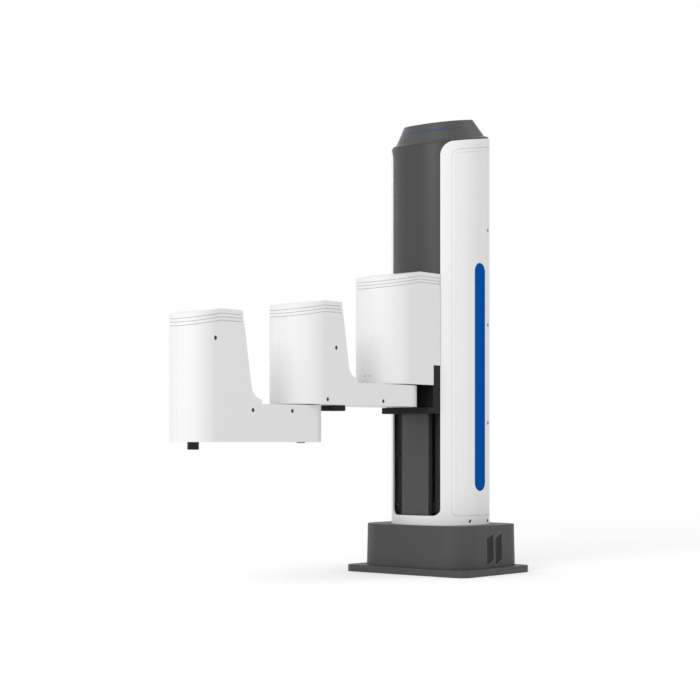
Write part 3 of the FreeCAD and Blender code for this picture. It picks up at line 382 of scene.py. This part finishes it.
class SizedTree:
    """A geometry node tree with named sizes, ended by Realize Instances and Set Material."""

    def __init__(self, name: str, sizes: dict[str, float], finish: Finish) -> None:
        """Opens the tree.

        Args:
            name: the tree's name.
            sizes: its named inputs with their usual values.
            finish: the finish that its geometry gets.
        """
        self.finish = finish
        self.tree = bpy.data.node_groups.new(name, "GeometryNodeTree")
        face = self.tree.interface
        face.new_socket("Geometry", in_out="INPUT", socket_type="NodeSocketGeometry")
        for label, value in sizes.items():
            socket = face.new_socket(label, in_out="INPUT", socket_type="NodeSocketFloat")
            socket.default_value = value
        face.new_socket("Geometry", in_out="OUTPUT", socket_type="NodeSocketGeometry")
        self.enter = self.add("NodeGroupInput")
        self.leave = self.add("NodeGroupOutput")

    def add(self, kind: str, **settings: object) -> bpy.types.Node:
        """Adds a node.

        Args:
            kind: the node's type name.
            **settings: its properties.

        Returns:
            The node.
        """
        node = self.tree.nodes.new(kind)
        for label, value in settings.items():
            setattr(node, label, value)
        return node

    def wire(self, source: bpy.types.NodeSocket, target: bpy.types.NodeSocket) -> None:
        """Links two sockets."""
        self.tree.links.new(source, target)

    def size(self, label: str) -> bpy.types.NodeSocket:
        """The socket that gives a named size."""
        return self.enter.outputs[label]

    def sum(self, operation: str, first: object, second: object) -> bpy.types.NodeSocket:
        """A sum of two sockets or numbers.

        Args:
            operation: the math node's operation.
            first: a socket or a number.
            second: a socket or a number.

        Returns:
            The result's socket.
        """
        node = self.add("ShaderNodeMath", operation=operation)
        for place, value in zip(node.inputs, (first, second)):
            if isinstance(value, (int, float)):
                place.default_value = value
            else:
                self.wire(value, place)
        return node.outputs[0]

    def vector(self, x: object, y: object, z: object) -> bpy.types.NodeSocket:
        """A vector from three sockets or numbers.

        Args:
            x: the first part.
            y: the second part.
            z: the third part.

        Returns:
            The vector's socket.
        """
        node = self.add("ShaderNodeCombineXYZ")
        for place, value in zip(node.inputs, (x, y, z)):
            if isinstance(value, (int, float)):
                place.default_value = value
            else:
                self.wire(value, place)
        return node.outputs[0]

    def moved(self, geometry: bpy.types.NodeSocket,
              shift: bpy.types.NodeSocket) -> bpy.types.NodeSocket:
        """Geometry moved by a vector.

        Args:
            geometry: what is moved.
            shift: the way and how far.

        Returns:
            The moved geometry's socket.
        """
        node = self.add("GeometryNodeTransform")
        self.wire(geometry, node.inputs["Geometry"])
        self.wire(shift, node.inputs["Translation"])
        return node.outputs["Geometry"]

    def on_spots(self, item: bpy.types.NodeSocket) -> bpy.types.NodeSocket:
        """Sets an item on each point of the incoming mesh, its Z along the point's aim.

        Args:
            item: the item's geometry.

        Returns:
            The instances' socket.
        """
        aim = self.add("GeometryNodeInputNamedAttribute", data_type="FLOAT_VECTOR")
        aim.inputs["Name"].default_value = "aim"
        turn = self.add("FunctionNodeAlignRotationToVector", axis="Z")
        self.wire(aim.outputs["Attribute"], turn.inputs["Vector"])
        copies = self.add("GeometryNodeInstanceOnPoints")
        self.wire(self.enter.outputs["Geometry"], copies.inputs["Points"])
        self.wire(item, copies.inputs["Instance"])
        self.wire(turn.outputs["Rotation"], copies.inputs["Rotation"])
        return copies.outputs["Instances"]

    def end(self, geometry: bpy.types.NodeSocket) -> None:
        """Closes the tree with Realize Instances and Set Material."""
        real = self.add("GeometryNodeRealizeInstances")
        paint = self.add("GeometryNodeSetMaterial")
        paint.inputs["Material"].default_value = self.finish.material()
        self.wire(geometry, real.inputs["Geometry"])
        self.wire(real.outputs["Geometry"], paint.inputs["Geometry"])
        self.wire(paint.outputs["Geometry"], self.leave.inputs["Geometry"])

    def piece(self, name: str, mesh: bpy.types.Mesh, body: str,
              sizes: dict[str, float]) -> bpy.types.Object:
        """Runs the tree on a mesh and keeps the result as a plain piece.

        Args:
            name: the piece's name.
            mesh: the points or the path that the tree works on.
            body: the body that the piece rides on.
            sizes: values for the tree's named inputs.

        Returns:
            The piece, its modifier taken off.
        """
        piece = bpy.data.objects.new(name, mesh)
        bpy.context.scene.collection.objects.link(piece)
        maker = piece.modifiers.new("maker", "NODES")
        maker.node_group = self.tree
        known = {item.name: item.identifier for item in self.tree.interface.items_tree
                 if item.in_out == "INPUT"}
        for label, value in sizes.items():
            maker[known[label]] = value
        graph = bpy.context.evaluated_depsgraph_get()
        made = bpy.data.meshes.new_from_object(piece.evaluated_get(graph))
        piece.modifiers.remove(maker)
        piece.data = made
        shade(made)
        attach(piece, body)
        LOG.info("made %s: %d faces", name, len(made.polygons))
        return piece


class SocketScrewTree(SizedTree):
    """Round-headed socket screws, each head sunk from its spot."""

    HEAD_SIDES = 28
    SOCKET_SIDES = 6

    def __init__(self, finish: Finish) -> None:
        """Builds the tree of one chamfered head with a hexagon socket.

        Args:
            finish: the screws' finish.
        """
        super().__init__("socket_screws", {"Head Radius": 2.6 * MM, "Head Height": 1.6 * MM,
                                           "Socket Radius": 1.4 * MM, "Socket Depth": 1.0 * MM,
                                           "Chamfer": 0.3 * MM}, finish)
        low = self.sum("SUBTRACT", self.size("Head Height"), self.size("Chamfer"))
        head = self.add("GeometryNodeMeshCylinder", fill_type="NGON")
        head.inputs["Vertices"].default_value = self.HEAD_SIDES
        self.wire(self.size("Head Radius"), head.inputs["Radius"])
        self.wire(low, head.inputs["Depth"])
        rim = self.add("GeometryNodeExtrudeMesh", mode="FACES")
        self.wire(head.outputs["Mesh"], rim.inputs["Mesh"])
        self.wire(head.outputs["Top"], rim.inputs["Selection"])
        self.wire(self.size("Chamfer"), rim.inputs["Offset Scale"])
        inner = self.sum("SUBTRACT", self.size("Head Radius"), self.size("Chamfer"))
        narrow = self.add("GeometryNodeScaleElements", domain="FACE")
        self.wire(rim.outputs["Mesh"], narrow.inputs["Geometry"])
        self.wire(rim.outputs["Top"], narrow.inputs["Selection"])
        self.wire(self.sum("DIVIDE", inner, self.size("Head Radius")), narrow.inputs["Scale"])
        drop = self.sum("MULTIPLY", low, -0.5)
        sunk = self.sum("SUBTRACT", drop, self.size("Chamfer"))
        lowered = self.moved(narrow.outputs["Geometry"], self.vector(0, 0, sunk))
        key = self.add("GeometryNodeMeshCylinder", fill_type="NGON")
        key.inputs["Vertices"].default_value = self.SOCKET_SIDES
        self.wire(self.size("Socket Radius"), key.inputs["Radius"])
        self.wire(self.sum("MULTIPLY", self.size("Socket Depth"), 2), key.inputs["Depth"])
        hollow = self.add("GeometryNodeMeshBoolean", operation="DIFFERENCE", solver="EXACT")
        self.wire(lowered, hollow.inputs["Mesh 1"])
        self.wire(key.outputs["Mesh"], hollow.inputs["Mesh 2"])
        self.end(self.on_spots(hollow.outputs["Mesh"]))


class BladeTree(SizedTree):
    """Flat blades or pins that stand on their spots, such as contacts."""

    def __init__(self, name: str, finish: Finish) -> None:
        """Builds the tree of one blade.

        Args:
            name: the tree's name.
            finish: the blades' finish.
        """
        super().__init__(name, {"Width": 1.0 * MM, "Height": 1.0 * MM, "Length": 5.0 * MM}, finish)
        blade = self.add("GeometryNodeMeshCube")
        self.wire(self.vector(self.size("Height"), self.size("Width"), self.size("Length")),
                  blade.inputs["Size"])
        raised = self.moved(blade.outputs["Mesh"],
                            self.vector(0, 0, self.sum("MULTIPLY", self.size("Length"), 0.5)))
        self.end(self.on_spots(raised))


class ThreadTree(SizedTree):
    """A screw shaft with one ridge wound round it, standing on its spot.

    The ridge winds left-handed, the spiral node's default, though the lift's coupling in the
    record is that of a right-handed screw.
    """

    CORE_SIDES = 40
    TURN_STEPS = 28
    # The ridge's section is this many times its rise, so that half a rise is in the core
    ROOTED = 1.5

    def __init__(self, finish: Finish) -> None:
        """Builds the tree of a core and its helix.

        Args:
            finish: the screw's finish.
        """
        super().__init__("screw_thread", {"Core Radius": 6.0 * MM, "Crest Radius": 7.0 * MM,
                                          "Lead": 10.0 * MM, "Ridge Width": 5.0 * MM,
                                          "Length": 500.0 * MM}, finish)
        core = self.add("GeometryNodeMeshCylinder", fill_type="NGON")
        core.inputs["Vertices"].default_value = self.CORE_SIDES
        self.wire(self.size("Core Radius"), core.inputs["Radius"])
        self.wire(self.size("Length"), core.inputs["Depth"])
        half = self.sum("MULTIPLY", self.size("Length"), 0.5)
        shaft = self.moved(core.outputs["Mesh"], self.vector(0, 0, half))
        run = self.sum("SUBTRACT", self.size("Length"), self.size("Ridge Width"))
        coil = self.add("GeometryNodeCurveSpiral")
        coil.inputs["Resolution"].default_value = self.TURN_STEPS
        rise = self.sum("SUBTRACT", self.size("Crest Radius"), self.size("Core Radius"))
        section = self.sum("MULTIPLY", rise, self.ROOTED)
        middle = self.sum("SUBTRACT", self.size("Crest Radius"),
                          self.sum("MULTIPLY", rise, self.ROOTED / 2))
        self.wire(self.sum("DIVIDE", run, self.size("Lead")), coil.inputs["Rotations"])
        self.wire(middle, coil.inputs["Start Radius"])
        self.wire(middle, coil.inputs["End Radius"])
        self.wire(run, coil.inputs["Height"])
        upright = self.add("GeometryNodeSetCurveNormal", mode="Z_UP")
        self.wire(coil.outputs["Curve"], upright.inputs["Curve"])
        ridge = self.add("GeometryNodeCurvePrimitiveQuadrilateral", mode="RECTANGLE")
        self.wire(section, ridge.inputs["Width"])
        self.wire(self.size("Ridge Width"), ridge.inputs["Height"])
        wound = self.add("GeometryNodeCurveToMesh")
        wound.inputs["Fill Caps"].default_value = True
        self.wire(upright.outputs["Curve"], wound.inputs["Curve"])
        self.wire(ridge.outputs["Curve"], wound.inputs["Profile Curve"])
        start = self.sum("MULTIPLY", self.size("Ridge Width"), 0.5)
        raised = self.moved(wound.outputs["Mesh"], self.vector(0, 0, start))
        both = self.add("GeometryNodeJoinGeometry")
        self.wire(shaft, both.inputs["Geometry"])
        self.wire(raised, both.inputs["Geometry"])
        self.end(self.on_spots(both.outputs["Geometry"]))


@dataclass
class Softened:
    """A CAD node redone with its doubles merged, small rounded edges and smooth shading."""

    node: str
    edge_r: float
    finish: Finish
    edge_angle: float = math.radians(24.0)
    flat_angle: float = math.radians(0.05)
    segments: int = 2
    face_weight: int = 50

    def build(self, body: str) -> bpy.types.Object:
        """Makes the rounded copy and puts it in the node's place.

        Args:
            body: the body that the piece rides on.

        Returns:
            The new piece.
        """
        mesh = bpy.data.meshes.new(self.node + "_soft")
        work = merged(self.node)
        bmesh.ops.dissolve_limit(work, angle_limit=self.flat_angle, verts=work.verts,
                                 edges=work.edges, use_dissolve_boundaries=False)
        for face in work.faces:
            face.smooth = True
        work.to_mesh(mesh)
        work.free()
        piece = bpy.data.objects.new(self.node + "_soft", mesh)
        bpy.context.scene.collection.objects.link(piece)
        bevel = piece.modifiers.new("edges", "BEVEL")
        bevel.width = self.edge_r
        bevel.segments = self.segments
        bevel.limit_method = "ANGLE"
        bevel.angle_limit = self.edge_angle
        bevel.use_clamp_overlap = True
        even = piece.modifiers.new("even", "WEIGHTED_NORMAL")
        even.weight = self.face_weight
        even.keep_sharp = True
        mesh.materials.append(self.finish.material())
        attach(piece, body)
        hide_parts(self.node)
        LOG.info("softened %s", self.node)
        return piece


@dataclass
class SubAssembly:
    """A group of CAD nodes with their finishes, and the edge radius of each that is softened."""

    finishes: dict[str, Finish] = field(default_factory=dict)
    edges: dict[str, float] = field(default_factory=dict)

    def build(self) -> None:
        """Dresses the nodes, then adds the sub-assembly's own details."""
        bodies = frame["record"]["behaviour"]["bodies"]
        for node, finish in self.finishes.items():
            if node in self.edges:
                body = next(name for name, members in bodies.items() if node in members)
                Softened(node, self.edges[node], finish).build(body)
            else:
                data = frame["nodes"][node].data
                data.materials.clear()
                data.materials.append(finish.material())
                LOG.info("dressed %s", node)
        self.details()

    def details(self) -> None:
        """The sub-assembly's own details; none unless a class adds them."""

    def cover_screws(self, tree: SocketScrewTree, node: str, body: str) -> None:
        """Puts socket screws where a CAD node's plain heads are, facing out of the sides.

        Args:
            tree: the screw's tree.
            node: the CAD node that holds the heads.
            body: the body that they ride on.
        """
        heads = islands(node)
        spots = []
        for low, high in heads:
            centre = (low + high) / 2
            side = 1.0 if centre.y > 0 else -1.0
            face_y = high.y if side > 0 else low.y
            spots.append(Spot(Vector((centre.x, face_y, centre.z)), Vector((0.0, side, 0.0))))
        radius = (heads[0][1].x - heads[0][0].x) / 2
        height = heads[0][1].y - heads[0][0].y
        piece = tree.piece(node + "_heads", spots_mesh(node + "_spots", spots), body,
                           {"Head Radius": radius, "Head Height": height})
        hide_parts(node)


@dataclass
class BaseUnit(SubAssembly):
    """Plate, housing, electronics and the rear connector panel with its contacts."""

    finishes: dict[str, Finish] = field(default_factory=lambda: {
        "base_plate": BASE_COAT, "base_housing": BASE_COAT, "connector_panel": PANEL_GREY,
        "power_inlet": SOCKET_BLACK, "data_ports": SOCKET_BLACK, "power_supply": PANEL_GREY,
        "controller_board": BOARD_GREEN, "vent_fan": SOCKET_BLACK})
    edges: dict[str, float] = field(default_factory=lambda: {
        "base_plate": 0.6 * MM, "base_housing": 0.3 * MM, "connector_panel": 0.3 * MM,
        "power_inlet": 0.25 * MM, "data_ports": 0.2 * MM, "vent_fan": 0.4 * MM})
    screws: SocketScrewTree | None = None
    screw_edge: float = 4.5 * MM
    screw_stand: float = 1.0 * MM
    screw_r: float = 2.2 * MM
    screw_height: float = 1.2 * MM
    pin_width: float = 2.0 * MM
    pin_height: float = 4.2 * MM
    pin_length: float = 10.0 * MM
    pin_pitch: float = 7.0 * MM
    pin_rise: float = 2.0 * MM
    contact_count: int = 8
    contact_pitch: float = 1.02 * MM
    contact_width: float = 0.45 * MM
    contact_length: float = 7.0 * MM
    contact_drop: float = 2.6 * MM
    cup_floor: float = 1.5 * MM

    def details(self) -> None:
        """Screws of the connector panel, pins of the inlet and contacts of the ports."""
        low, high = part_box("connector_panel")
        back = Vector((-1.0, 0.0, 0.0))
        spots = []
        for y in (low[1] + self.screw_edge, high[1] - self.screw_edge):
            for z in (low[2] + self.screw_edge, high[2] - self.screw_edge):
                spots.append(Spot(Vector((low[0] - self.screw_stand, y, z)), back))
        self.screws.piece("panel_screws", spots_mesh("panel_screw_spots", spots), "base",
                          {"Head Radius": self.screw_r, "Head Height": self.screw_height})
        low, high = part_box("power_inlet")
        middle = Vector((high[0] - self.cup_floor, (low[1] + high[1]) / 2, (low[2] + high[2]) / 2))
        spots = []
        for side in (-1, 0, 1):
            rise = self.pin_rise * (1 - 2 * abs(side))
            spots.append(Spot(middle + Vector((0.0, side * self.pin_pitch, rise)), back))
        pins = BladeTree("inlet_pins", GROUND_STEEL)
        pins.piece("inlet_pins", spots_mesh("inlet_pin_spots", spots), "base",
                   {"Width": self.pin_width, "Height": self.pin_height, "Length": self.pin_length})
        spots = []
        for low, high in islands("data_ports"):
            for i in range(self.contact_count):
                y = (low.y + high.y) / 2 + (i - (self.contact_count - 1) / 2) * self.contact_pitch
                z = high.z - self.contact_drop
                spots.append(Spot(Vector((high.x - self.cup_floor, y, z)), back))
        contacts = BladeTree("port_contacts", CONTACT_GOLD)
        contacts.piece("port_contacts", spots_mesh("port_contact_spots", spots), "base",
                       {"Width": self.contact_width, "Height": self.contact_width,
                        "Length": self.contact_length})


@dataclass
class Column(SubAssembly):
    """White shell with its side panels and stripes, dark front, cap and status light."""

    finishes: dict[str, Finish] = field(default_factory=lambda: {
        "column_shell": WHITE_SHELL, "side_panel_left": WHITE_SHELL,
        "side_panel_right": WHITE_SHELL, "side_stripe_left": STRIPE_BLUE,
        "side_stripe_right": STRIPE_BLUE, "upper_front_cover": DARK_COVER,
        "status_light": STATUS_BLUE, "top_cap": CAP_DARK, "centre_strip": STRIP_DARK,
        "slot_liner_left": LINER_DARK, "slot_liner_right": LINER_DARK})
    edges: dict[str, float] = field(default_factory=lambda: {
        "column_shell": 0.35 * MM, "side_panel_left": 0.25 * MM, "side_panel_right": 0.25 * MM,
        "side_stripe_left": 0.15 * MM, "side_stripe_right": 0.15 * MM,
        "upper_front_cover": 0.3 * MM, "status_light": 0.1 * MM, "top_cap": 0.6 * MM,
        "centre_strip": 0.5 * MM, "slot_liner_left": 0.3 * MM, "slot_liner_right": 0.3 * MM})
    screws: SocketScrewTree | None = None

    def details(self) -> None:
        """Socket screws of the side panels and the skirt."""
        self.cover_screws(self.screws, "column_screws", "base")


@dataclass
class LiftDrive(SubAssembly):
    """Spine, rails, screw, belt and motor inside the column."""

    finishes: dict[str, Finish] = field(default_factory=lambda: {
        "column_spine": SPINE_PAINTED_SHADE, "guide_rails": GROUND_STEEL,
        "screw_bearing_lower": CAST_ALUMINIUM, "screw_bearing_upper": CAST_ALUMINIUM,
        "lift_motor": MOTOR_BLACK, "lift_belt": BELT_RUBBER, "screw_pulley": TURNED_ALUMINIUM,
        "motor_pulley": TURNED_ALUMINIUM})
    edges: dict[str, float] = field(default_factory=lambda: {
        "column_spine": 0.4 * MM, "guide_rails": 0.3 * MM, "screw_bearing_lower": 0.4 * MM,
        "screw_bearing_upper": 0.4 * MM, "lift_motor": 0.5 * MM, "lift_belt": 0.2 * MM,
        "screw_pulley": 0.2 * MM, "motor_pulley": 0.2 * MM})
    screws: SocketScrewTree | None = None
    thread_gap: float = 0.1 * MM
    thread_rise: float = 0.9 * MM
    lead: float = 10.0 * MM
    ridge_width: float = 5.5 * MM
    rail_screw_pitch: float = 50.0 * MM
    rail_screw_end: float = 20.0 * MM
    rail_screw_stand: float = 0.2 * MM
    rail_screw_r: float = 2.8 * MM
    rail_screw_height: float = 1.2 * MM

    def details(self) -> None:
        """The lift screw's thread and the screws along the rails."""
        low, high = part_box("lift_screw")
        foot = Vector(((low[0] + high[0]) / 2, (low[1] + high[1]) / 2, low[2]))
        crest = (high[0] - low[0]) / 2 - self.thread_gap
        thread = ThreadTree(GROUND_STEEL)
        piece = thread.piece("lift_screw_thread",
                             spots_mesh("thread_spot", [Spot(foot, Vector((0.0, 0.0, 1.0)))]),
                             "lift_screw",
                             {"Core Radius": crest - self.thread_rise, "Crest Radius": crest,
                              "Lead": self.lead, "Ridge Width": self.ridge_width,
                              "Length": high[2] - low[2]})
        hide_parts("lift_screw")
        spots = []
        for low, high in islands("guide_rails"):
            count = int((high.z - low.z - 2 * self.rail_screw_end) / self.rail_screw_pitch) + 1
            for i in range(count):
                z = low.z + self.rail_screw_end + i * self.rail_screw_pitch
                at = Vector((high.x + self.rail_screw_stand, (low.y + high.y) / 2, z))
                spots.append(Spot(at, Vector((1.0, 0.0, 0.0))))
        self.screws.piece("rail_screws", spots_mesh("rail_screw_spots", spots), "base",
                          {"Head Radius": self.rail_screw_r,
                           "Head Height": self.rail_screw_height})


@dataclass
class CarriageUnit(SubAssembly):
    """Cover, bracket, slide and shoulder drive that ride up and down the column."""

    finishes: dict[str, Finish] = field(default_factory=lambda: {
        "carriage_bracket": BRACKET_BLACK, "slide_plate": BRACKET_BLACK,
        "guide_blocks": GROUND_STEEL, "lift_nut": TURNED_ALUMINIUM,
        "carriage_cover": WHITE_COVER, "carriage_lid": WHITE_COVER,
        "shoulder_reducer": MOTOR_BLACK, "shoulder_motor": MOTOR_BLACK})
    edges: dict[str, float] = field(default_factory=lambda: {
        "carriage_bracket": 0.5 * MM, "slide_plate": 0.5 * MM, "guide_blocks": 0.4 * MM,
        "lift_nut": 0.4 * MM, "carriage_cover": 0.5 * MM, "carriage_lid": 0.15 * MM,
        "shoulder_reducer": 0.5 * MM, "shoulder_motor": 0.5 * MM})
    screws: SocketScrewTree | None = None
    set_screw_y: float = 4.5 * MM
    set_screw_z: float = 296.0 * MM
    set_screw_sink: float = 0.3 * MM
    set_screw_r: float = 0.9 * MM
    set_screw_height: float = 0.5 * MM
    set_screw_socket_r: float = 0.45 * MM
    set_screw_socket_deep: float = 0.35 * MM
    set_screw_chamfer: float = 0.12 * MM

    def details(self) -> None:
        """Two small set screws in the nose of the cover."""
        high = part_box("carriage_cover")[1]
        half, nose = high[1], high[0] - high[1]
        spots = []
        for y in (-self.set_screw_y, self.set_screw_y):
            out = Vector((math.sqrt(half ** 2 - y ** 2), y, 0.0))
            at = Vector((nose, 0.0, self.set_screw_z)) + out * (1 - self.set_screw_sink / half)
            spots.append(Spot(at, out.normalized()))
        self.screws.piece("nose_screws", spots_mesh("nose_screw_spots", spots), "carriage",
                          {"Head Radius": self.set_screw_r,
                           "Head Height": self.set_screw_height,
                           "Socket Radius": self.set_screw_socket_r,
                           "Socket Depth": self.set_screw_socket_deep,
                           "Chamfer": self.set_screw_chamfer})


@dataclass
class InnerArm(SubAssembly):
    """Frame, covers and elbow drive from the shoulder to the elbow."""

    finishes: dict[str, Finish] = field(default_factory=lambda: {
        "inner_arm_frame": CAST_ALUMINIUM, "inner_arm_cover": WHITE_COVER,
        "inner_arm_lid": WHITE_COVER, "inner_arm_base_cover": WHITE_COVER,
        "elbow_stop": BRACKET_BLACK, "shoulder_flange": GROUND_STEEL,
        "elbow_reducer": MOTOR_BLACK, "elbow_motor": MOTOR_BLACK})
    edges: dict[str, float] = field(default_factory=lambda: {
        "inner_arm_frame": 0.4 * MM, "inner_arm_cover": 0.5 * MM, "inner_arm_lid": 0.15 * MM,
        "inner_arm_base_cover": 0.4 * MM, "elbow_stop": 0.3 * MM, "shoulder_flange": 0.3 * MM,
        "elbow_reducer": 0.5 * MM, "elbow_motor": 0.5 * MM})
    screws: SocketScrewTree | None = None

    def details(self) -> None:
        """Socket screws of the cover."""
        self.cover_screws(self.screws, "inner_arm_screws", "inner_arm")


@dataclass
class OuterArm(SubAssembly):
    """Frame, covers, spindle bearings and spindle motor from the elbow to the tool."""

    finishes: dict[str, Finish] = field(default_factory=lambda: {
        "outer_arm_frame": CAST_ALUMINIUM, "outer_arm_cover": WHITE_COVER,
        "outer_arm_lid": WHITE_COVER, "outer_arm_base_cover": WHITE_COVER,
        "access_plug": DARK_COVER, "elbow_flange": GROUND_STEEL,
        "spindle_bearings": GROUND_STEEL, "motor_adapter": CAST_ALUMINIUM,
        "spindle_motor": MOTOR_BLACK})
    edges: dict[str, float] = field(default_factory=lambda: {
        "outer_arm_frame": 0.4 * MM, "outer_arm_cover": 0.5 * MM, "outer_arm_lid": 0.15 * MM,
        "outer_arm_base_cover": 0.4 * MM, "access_plug": 0.3 * MM, "elbow_flange": 0.3 * MM,
        "spindle_bearings": 0.3 * MM, "motor_adapter": 0.4 * MM, "spindle_motor": 0.5 * MM})
    screws: SocketScrewTree | None = None

    def details(self) -> None:
        """Socket screws of the cover."""
        self.cover_screws(self.screws, "outer_arm_screws", "outer_arm")


@dataclass
class ToolSpindle(SubAssembly):
    """The turning spindle with its coupling."""

    finishes: dict[str, Finish] = field(default_factory=lambda: {
        "tool_spindle": SPINDLE_STEEL, "spindle_coupling": TURNED_ALUMINIUM})
    edges: dict[str, float] = field(default_factory=lambda: {
        "tool_spindle": 0.35 * MM, "spindle_coupling": 0.3 * MM})


@dataclass
class Studio:
    """Floor, world, one soft lamp and the camera at the photograph's viewing angle."""

    camera_place: tuple[float, float, float] = (2.025, 1.542, 0.197)
    camera_heading: tuple[float, float] = (-0.762, -0.647)
    sensor: float = 36.0
    lens: float = 84.75
    rise: float = 0.1337
    floor_size: float = 30.0
    floor_colour: float = 0.82
    floor_glow: float = 0.25
    floor_fade_start: float = 0.9
    floor_fade_end: float = 2.4
    world_level: float = 0.77
    key_bearing: float = 12.0
    key_elevation: float = 30.0
    key_distance: float = 6.0
    key_size: float = 2.9
    key_power: float = 150.0
    key_target: tuple[float, float, float] = (0.1, 0.0, 0.35)

    def build(self) -> None:
        """Makes the floor, the world, the lamp and the camera."""
        self._floor()
        self._world()
        self._key()
        self._camera()

    @staticmethod
    def _seen(tree: bpy.types.NodeTree) -> bpy.types.NodeSocket:
        """One where the camera, a gloss or a see-through ray looks, and none elsewhere.

        Args:
            tree: the material's or world's node tree.

        Returns:
            The socket that carries it.
        """
        rays = tree.nodes.new("ShaderNodeLightPath")
        last = rays.outputs["Is Camera Ray"]
        for label in ("Is Glossy Ray", "Is Transmission Ray"):
            either = tree.nodes.new("ShaderNodeMath")
            either.operation = "MAXIMUM"
            tree.links.new(last, either.inputs[0])
            tree.links.new(rays.outputs[label], either.inputs[1])
            last = either.outputs[0]
        return last

    def _floor(self) -> None:
        """A plain pale floor that keeps the object's shadow and fades to white far away."""
        half = self.floor_size / 2
        mesh = bpy.data.meshes.new("floor")
        mesh.from_pydata([(-half, -half, 0), (half, -half, 0), (half, half, 0), (-half, half, 0)],
                         [], [(0, 1, 2, 3)])
        floor = bpy.data.objects.new("floor", mesh)
        bpy.context.scene.collection.objects.link(floor)
        paint = bpy.data.materials.new("floor_white")
        paint.use_nodes = True
        nodes, links = paint.node_tree.nodes, paint.node_tree.links
        nodes.clear()
        out = nodes.new("ShaderNodeOutputMaterial")
        matt = nodes.new("ShaderNodeBsdfDiffuse")
        matt.inputs["Color"].default_value = (*(self.floor_colour,) * 3, 1.0)
        glow = nodes.new("ShaderNodeEmission")
        level = nodes.new("ShaderNodeMath")
        level.operation = "MULTIPLY"
        level.inputs[1].default_value = self.floor_glow
        both = nodes.new("ShaderNodeAddShader")
        place = nodes.new("ShaderNodeTexCoord")
        away = nodes.new("ShaderNodeVectorMath")
        away.operation = "LENGTH"
        fade = nodes.new("ShaderNodeMapRange")
        fade.interpolation_type = "SMOOTHSTEP"
        fade.inputs["From Min"].default_value = self.floor_fade_start
        fade.inputs["From Max"].default_value = self.floor_fade_end
        share = nodes.new("ShaderNodeMath")
        share.operation = "MULTIPLY"
        backdrop = nodes.new("ShaderNodeEmission")
        blend = nodes.new("ShaderNodeMixShader")
        seen = self._seen(paint.node_tree)
        links.new(seen, level.inputs[0])
        links.new(level.outputs[0], glow.inputs["Strength"])
        links.new(matt.outputs[0], both.inputs[0])
        links.new(glow.outputs[0], both.inputs[1])
        links.new(place.outputs["Object"], away.inputs[0])
        links.new(away.outputs["Value"], fade.inputs["Value"])
        links.new(fade.outputs["Result"], share.inputs[0])
        links.new(seen, share.inputs[1])
        links.new(share.outputs[0], blend.inputs["Fac"])
        links.new(both.outputs[0], blend.inputs[1])
        links.new(backdrop.outputs[0], blend.inputs[2])
        links.new(blend.outputs[0], out.inputs["Surface"])
        mesh.materials.append(paint)

    def _world(self) -> None:
        """A white backdrop to the camera and in gloss, and a softer even light on the object."""
        world = bpy.data.worlds.new("studio")
        bpy.context.scene.world = world
        world.use_nodes = True
        nodes, links = world.node_tree.nodes, world.node_tree.links
        back = nodes["Background"]
        back.inputs["Color"].default_value = (1.0, 1.0, 1.0, 1.0)
        level = nodes.new("ShaderNodeMapRange")
        level.inputs["To Min"].default_value = self.world_level
        level.inputs["To Max"].default_value = 1.0
        links.new(self._seen(world.node_tree), level.inputs["Value"])
        links.new(level.outputs["Result"], back.inputs["Strength"])

    def _key(self) -> None:
        """The one square softbox, low and in front of the arm."""
        side, up = math.radians(self.key_bearing), math.radians(self.key_elevation)
        away = Vector((math.cos(side) * math.cos(up), math.sin(side) * math.cos(up), math.sin(up)))
        data = bpy.data.lights.new("key", "AREA")
        data.size = self.key_size
        data.energy = self.key_power
        lamp = bpy.data.objects.new("key", data)
        lamp.location = Vector(self.key_target) + away * self.key_distance
        lamp.rotation_euler = (-away).to_track_quat("-Z", "Y").to_euler()
        bpy.context.scene.collection.objects.link(lamp)

    def _camera(self) -> None:
        """The level camera with a vertical shift, as in the photograph."""
        data = bpy.data.cameras.new("camera")
        data.sensor_width = self.sensor
        data.lens = self.lens
        data.shift_y = self.rise
        camera = bpy.data.objects.new("camera", data)
        camera.location = self.camera_place
        aim = Vector((*self.camera_heading, 0.0))
        camera.rotation_euler = aim.to_track_quat("-Z", "Y").to_euler()
        bpy.context.scene.collection.objects.link(camera)
        bpy.context.scene.camera = camera


def main() -> None:
    """Builds each sub-assembly's dressing in order, then the studio."""
    logging.basicConfig(level=logging.INFO)
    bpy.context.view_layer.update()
    bpy.context.scene.view_settings.view_transform = "Standard"
    screws = SocketScrewTree(OXIDE_STEEL)
    BaseUnit(screws=screws).build()
    Column(screws=screws).build()
    LiftDrive(screws=screws).build()
    CarriageUnit(screws=screws).build()
    InnerArm(screws=screws).build()
    OuterArm(screws=screws).build()
    ToolSpindle().build()
    Studio().build()


if __name__ == "__main__":
    main()
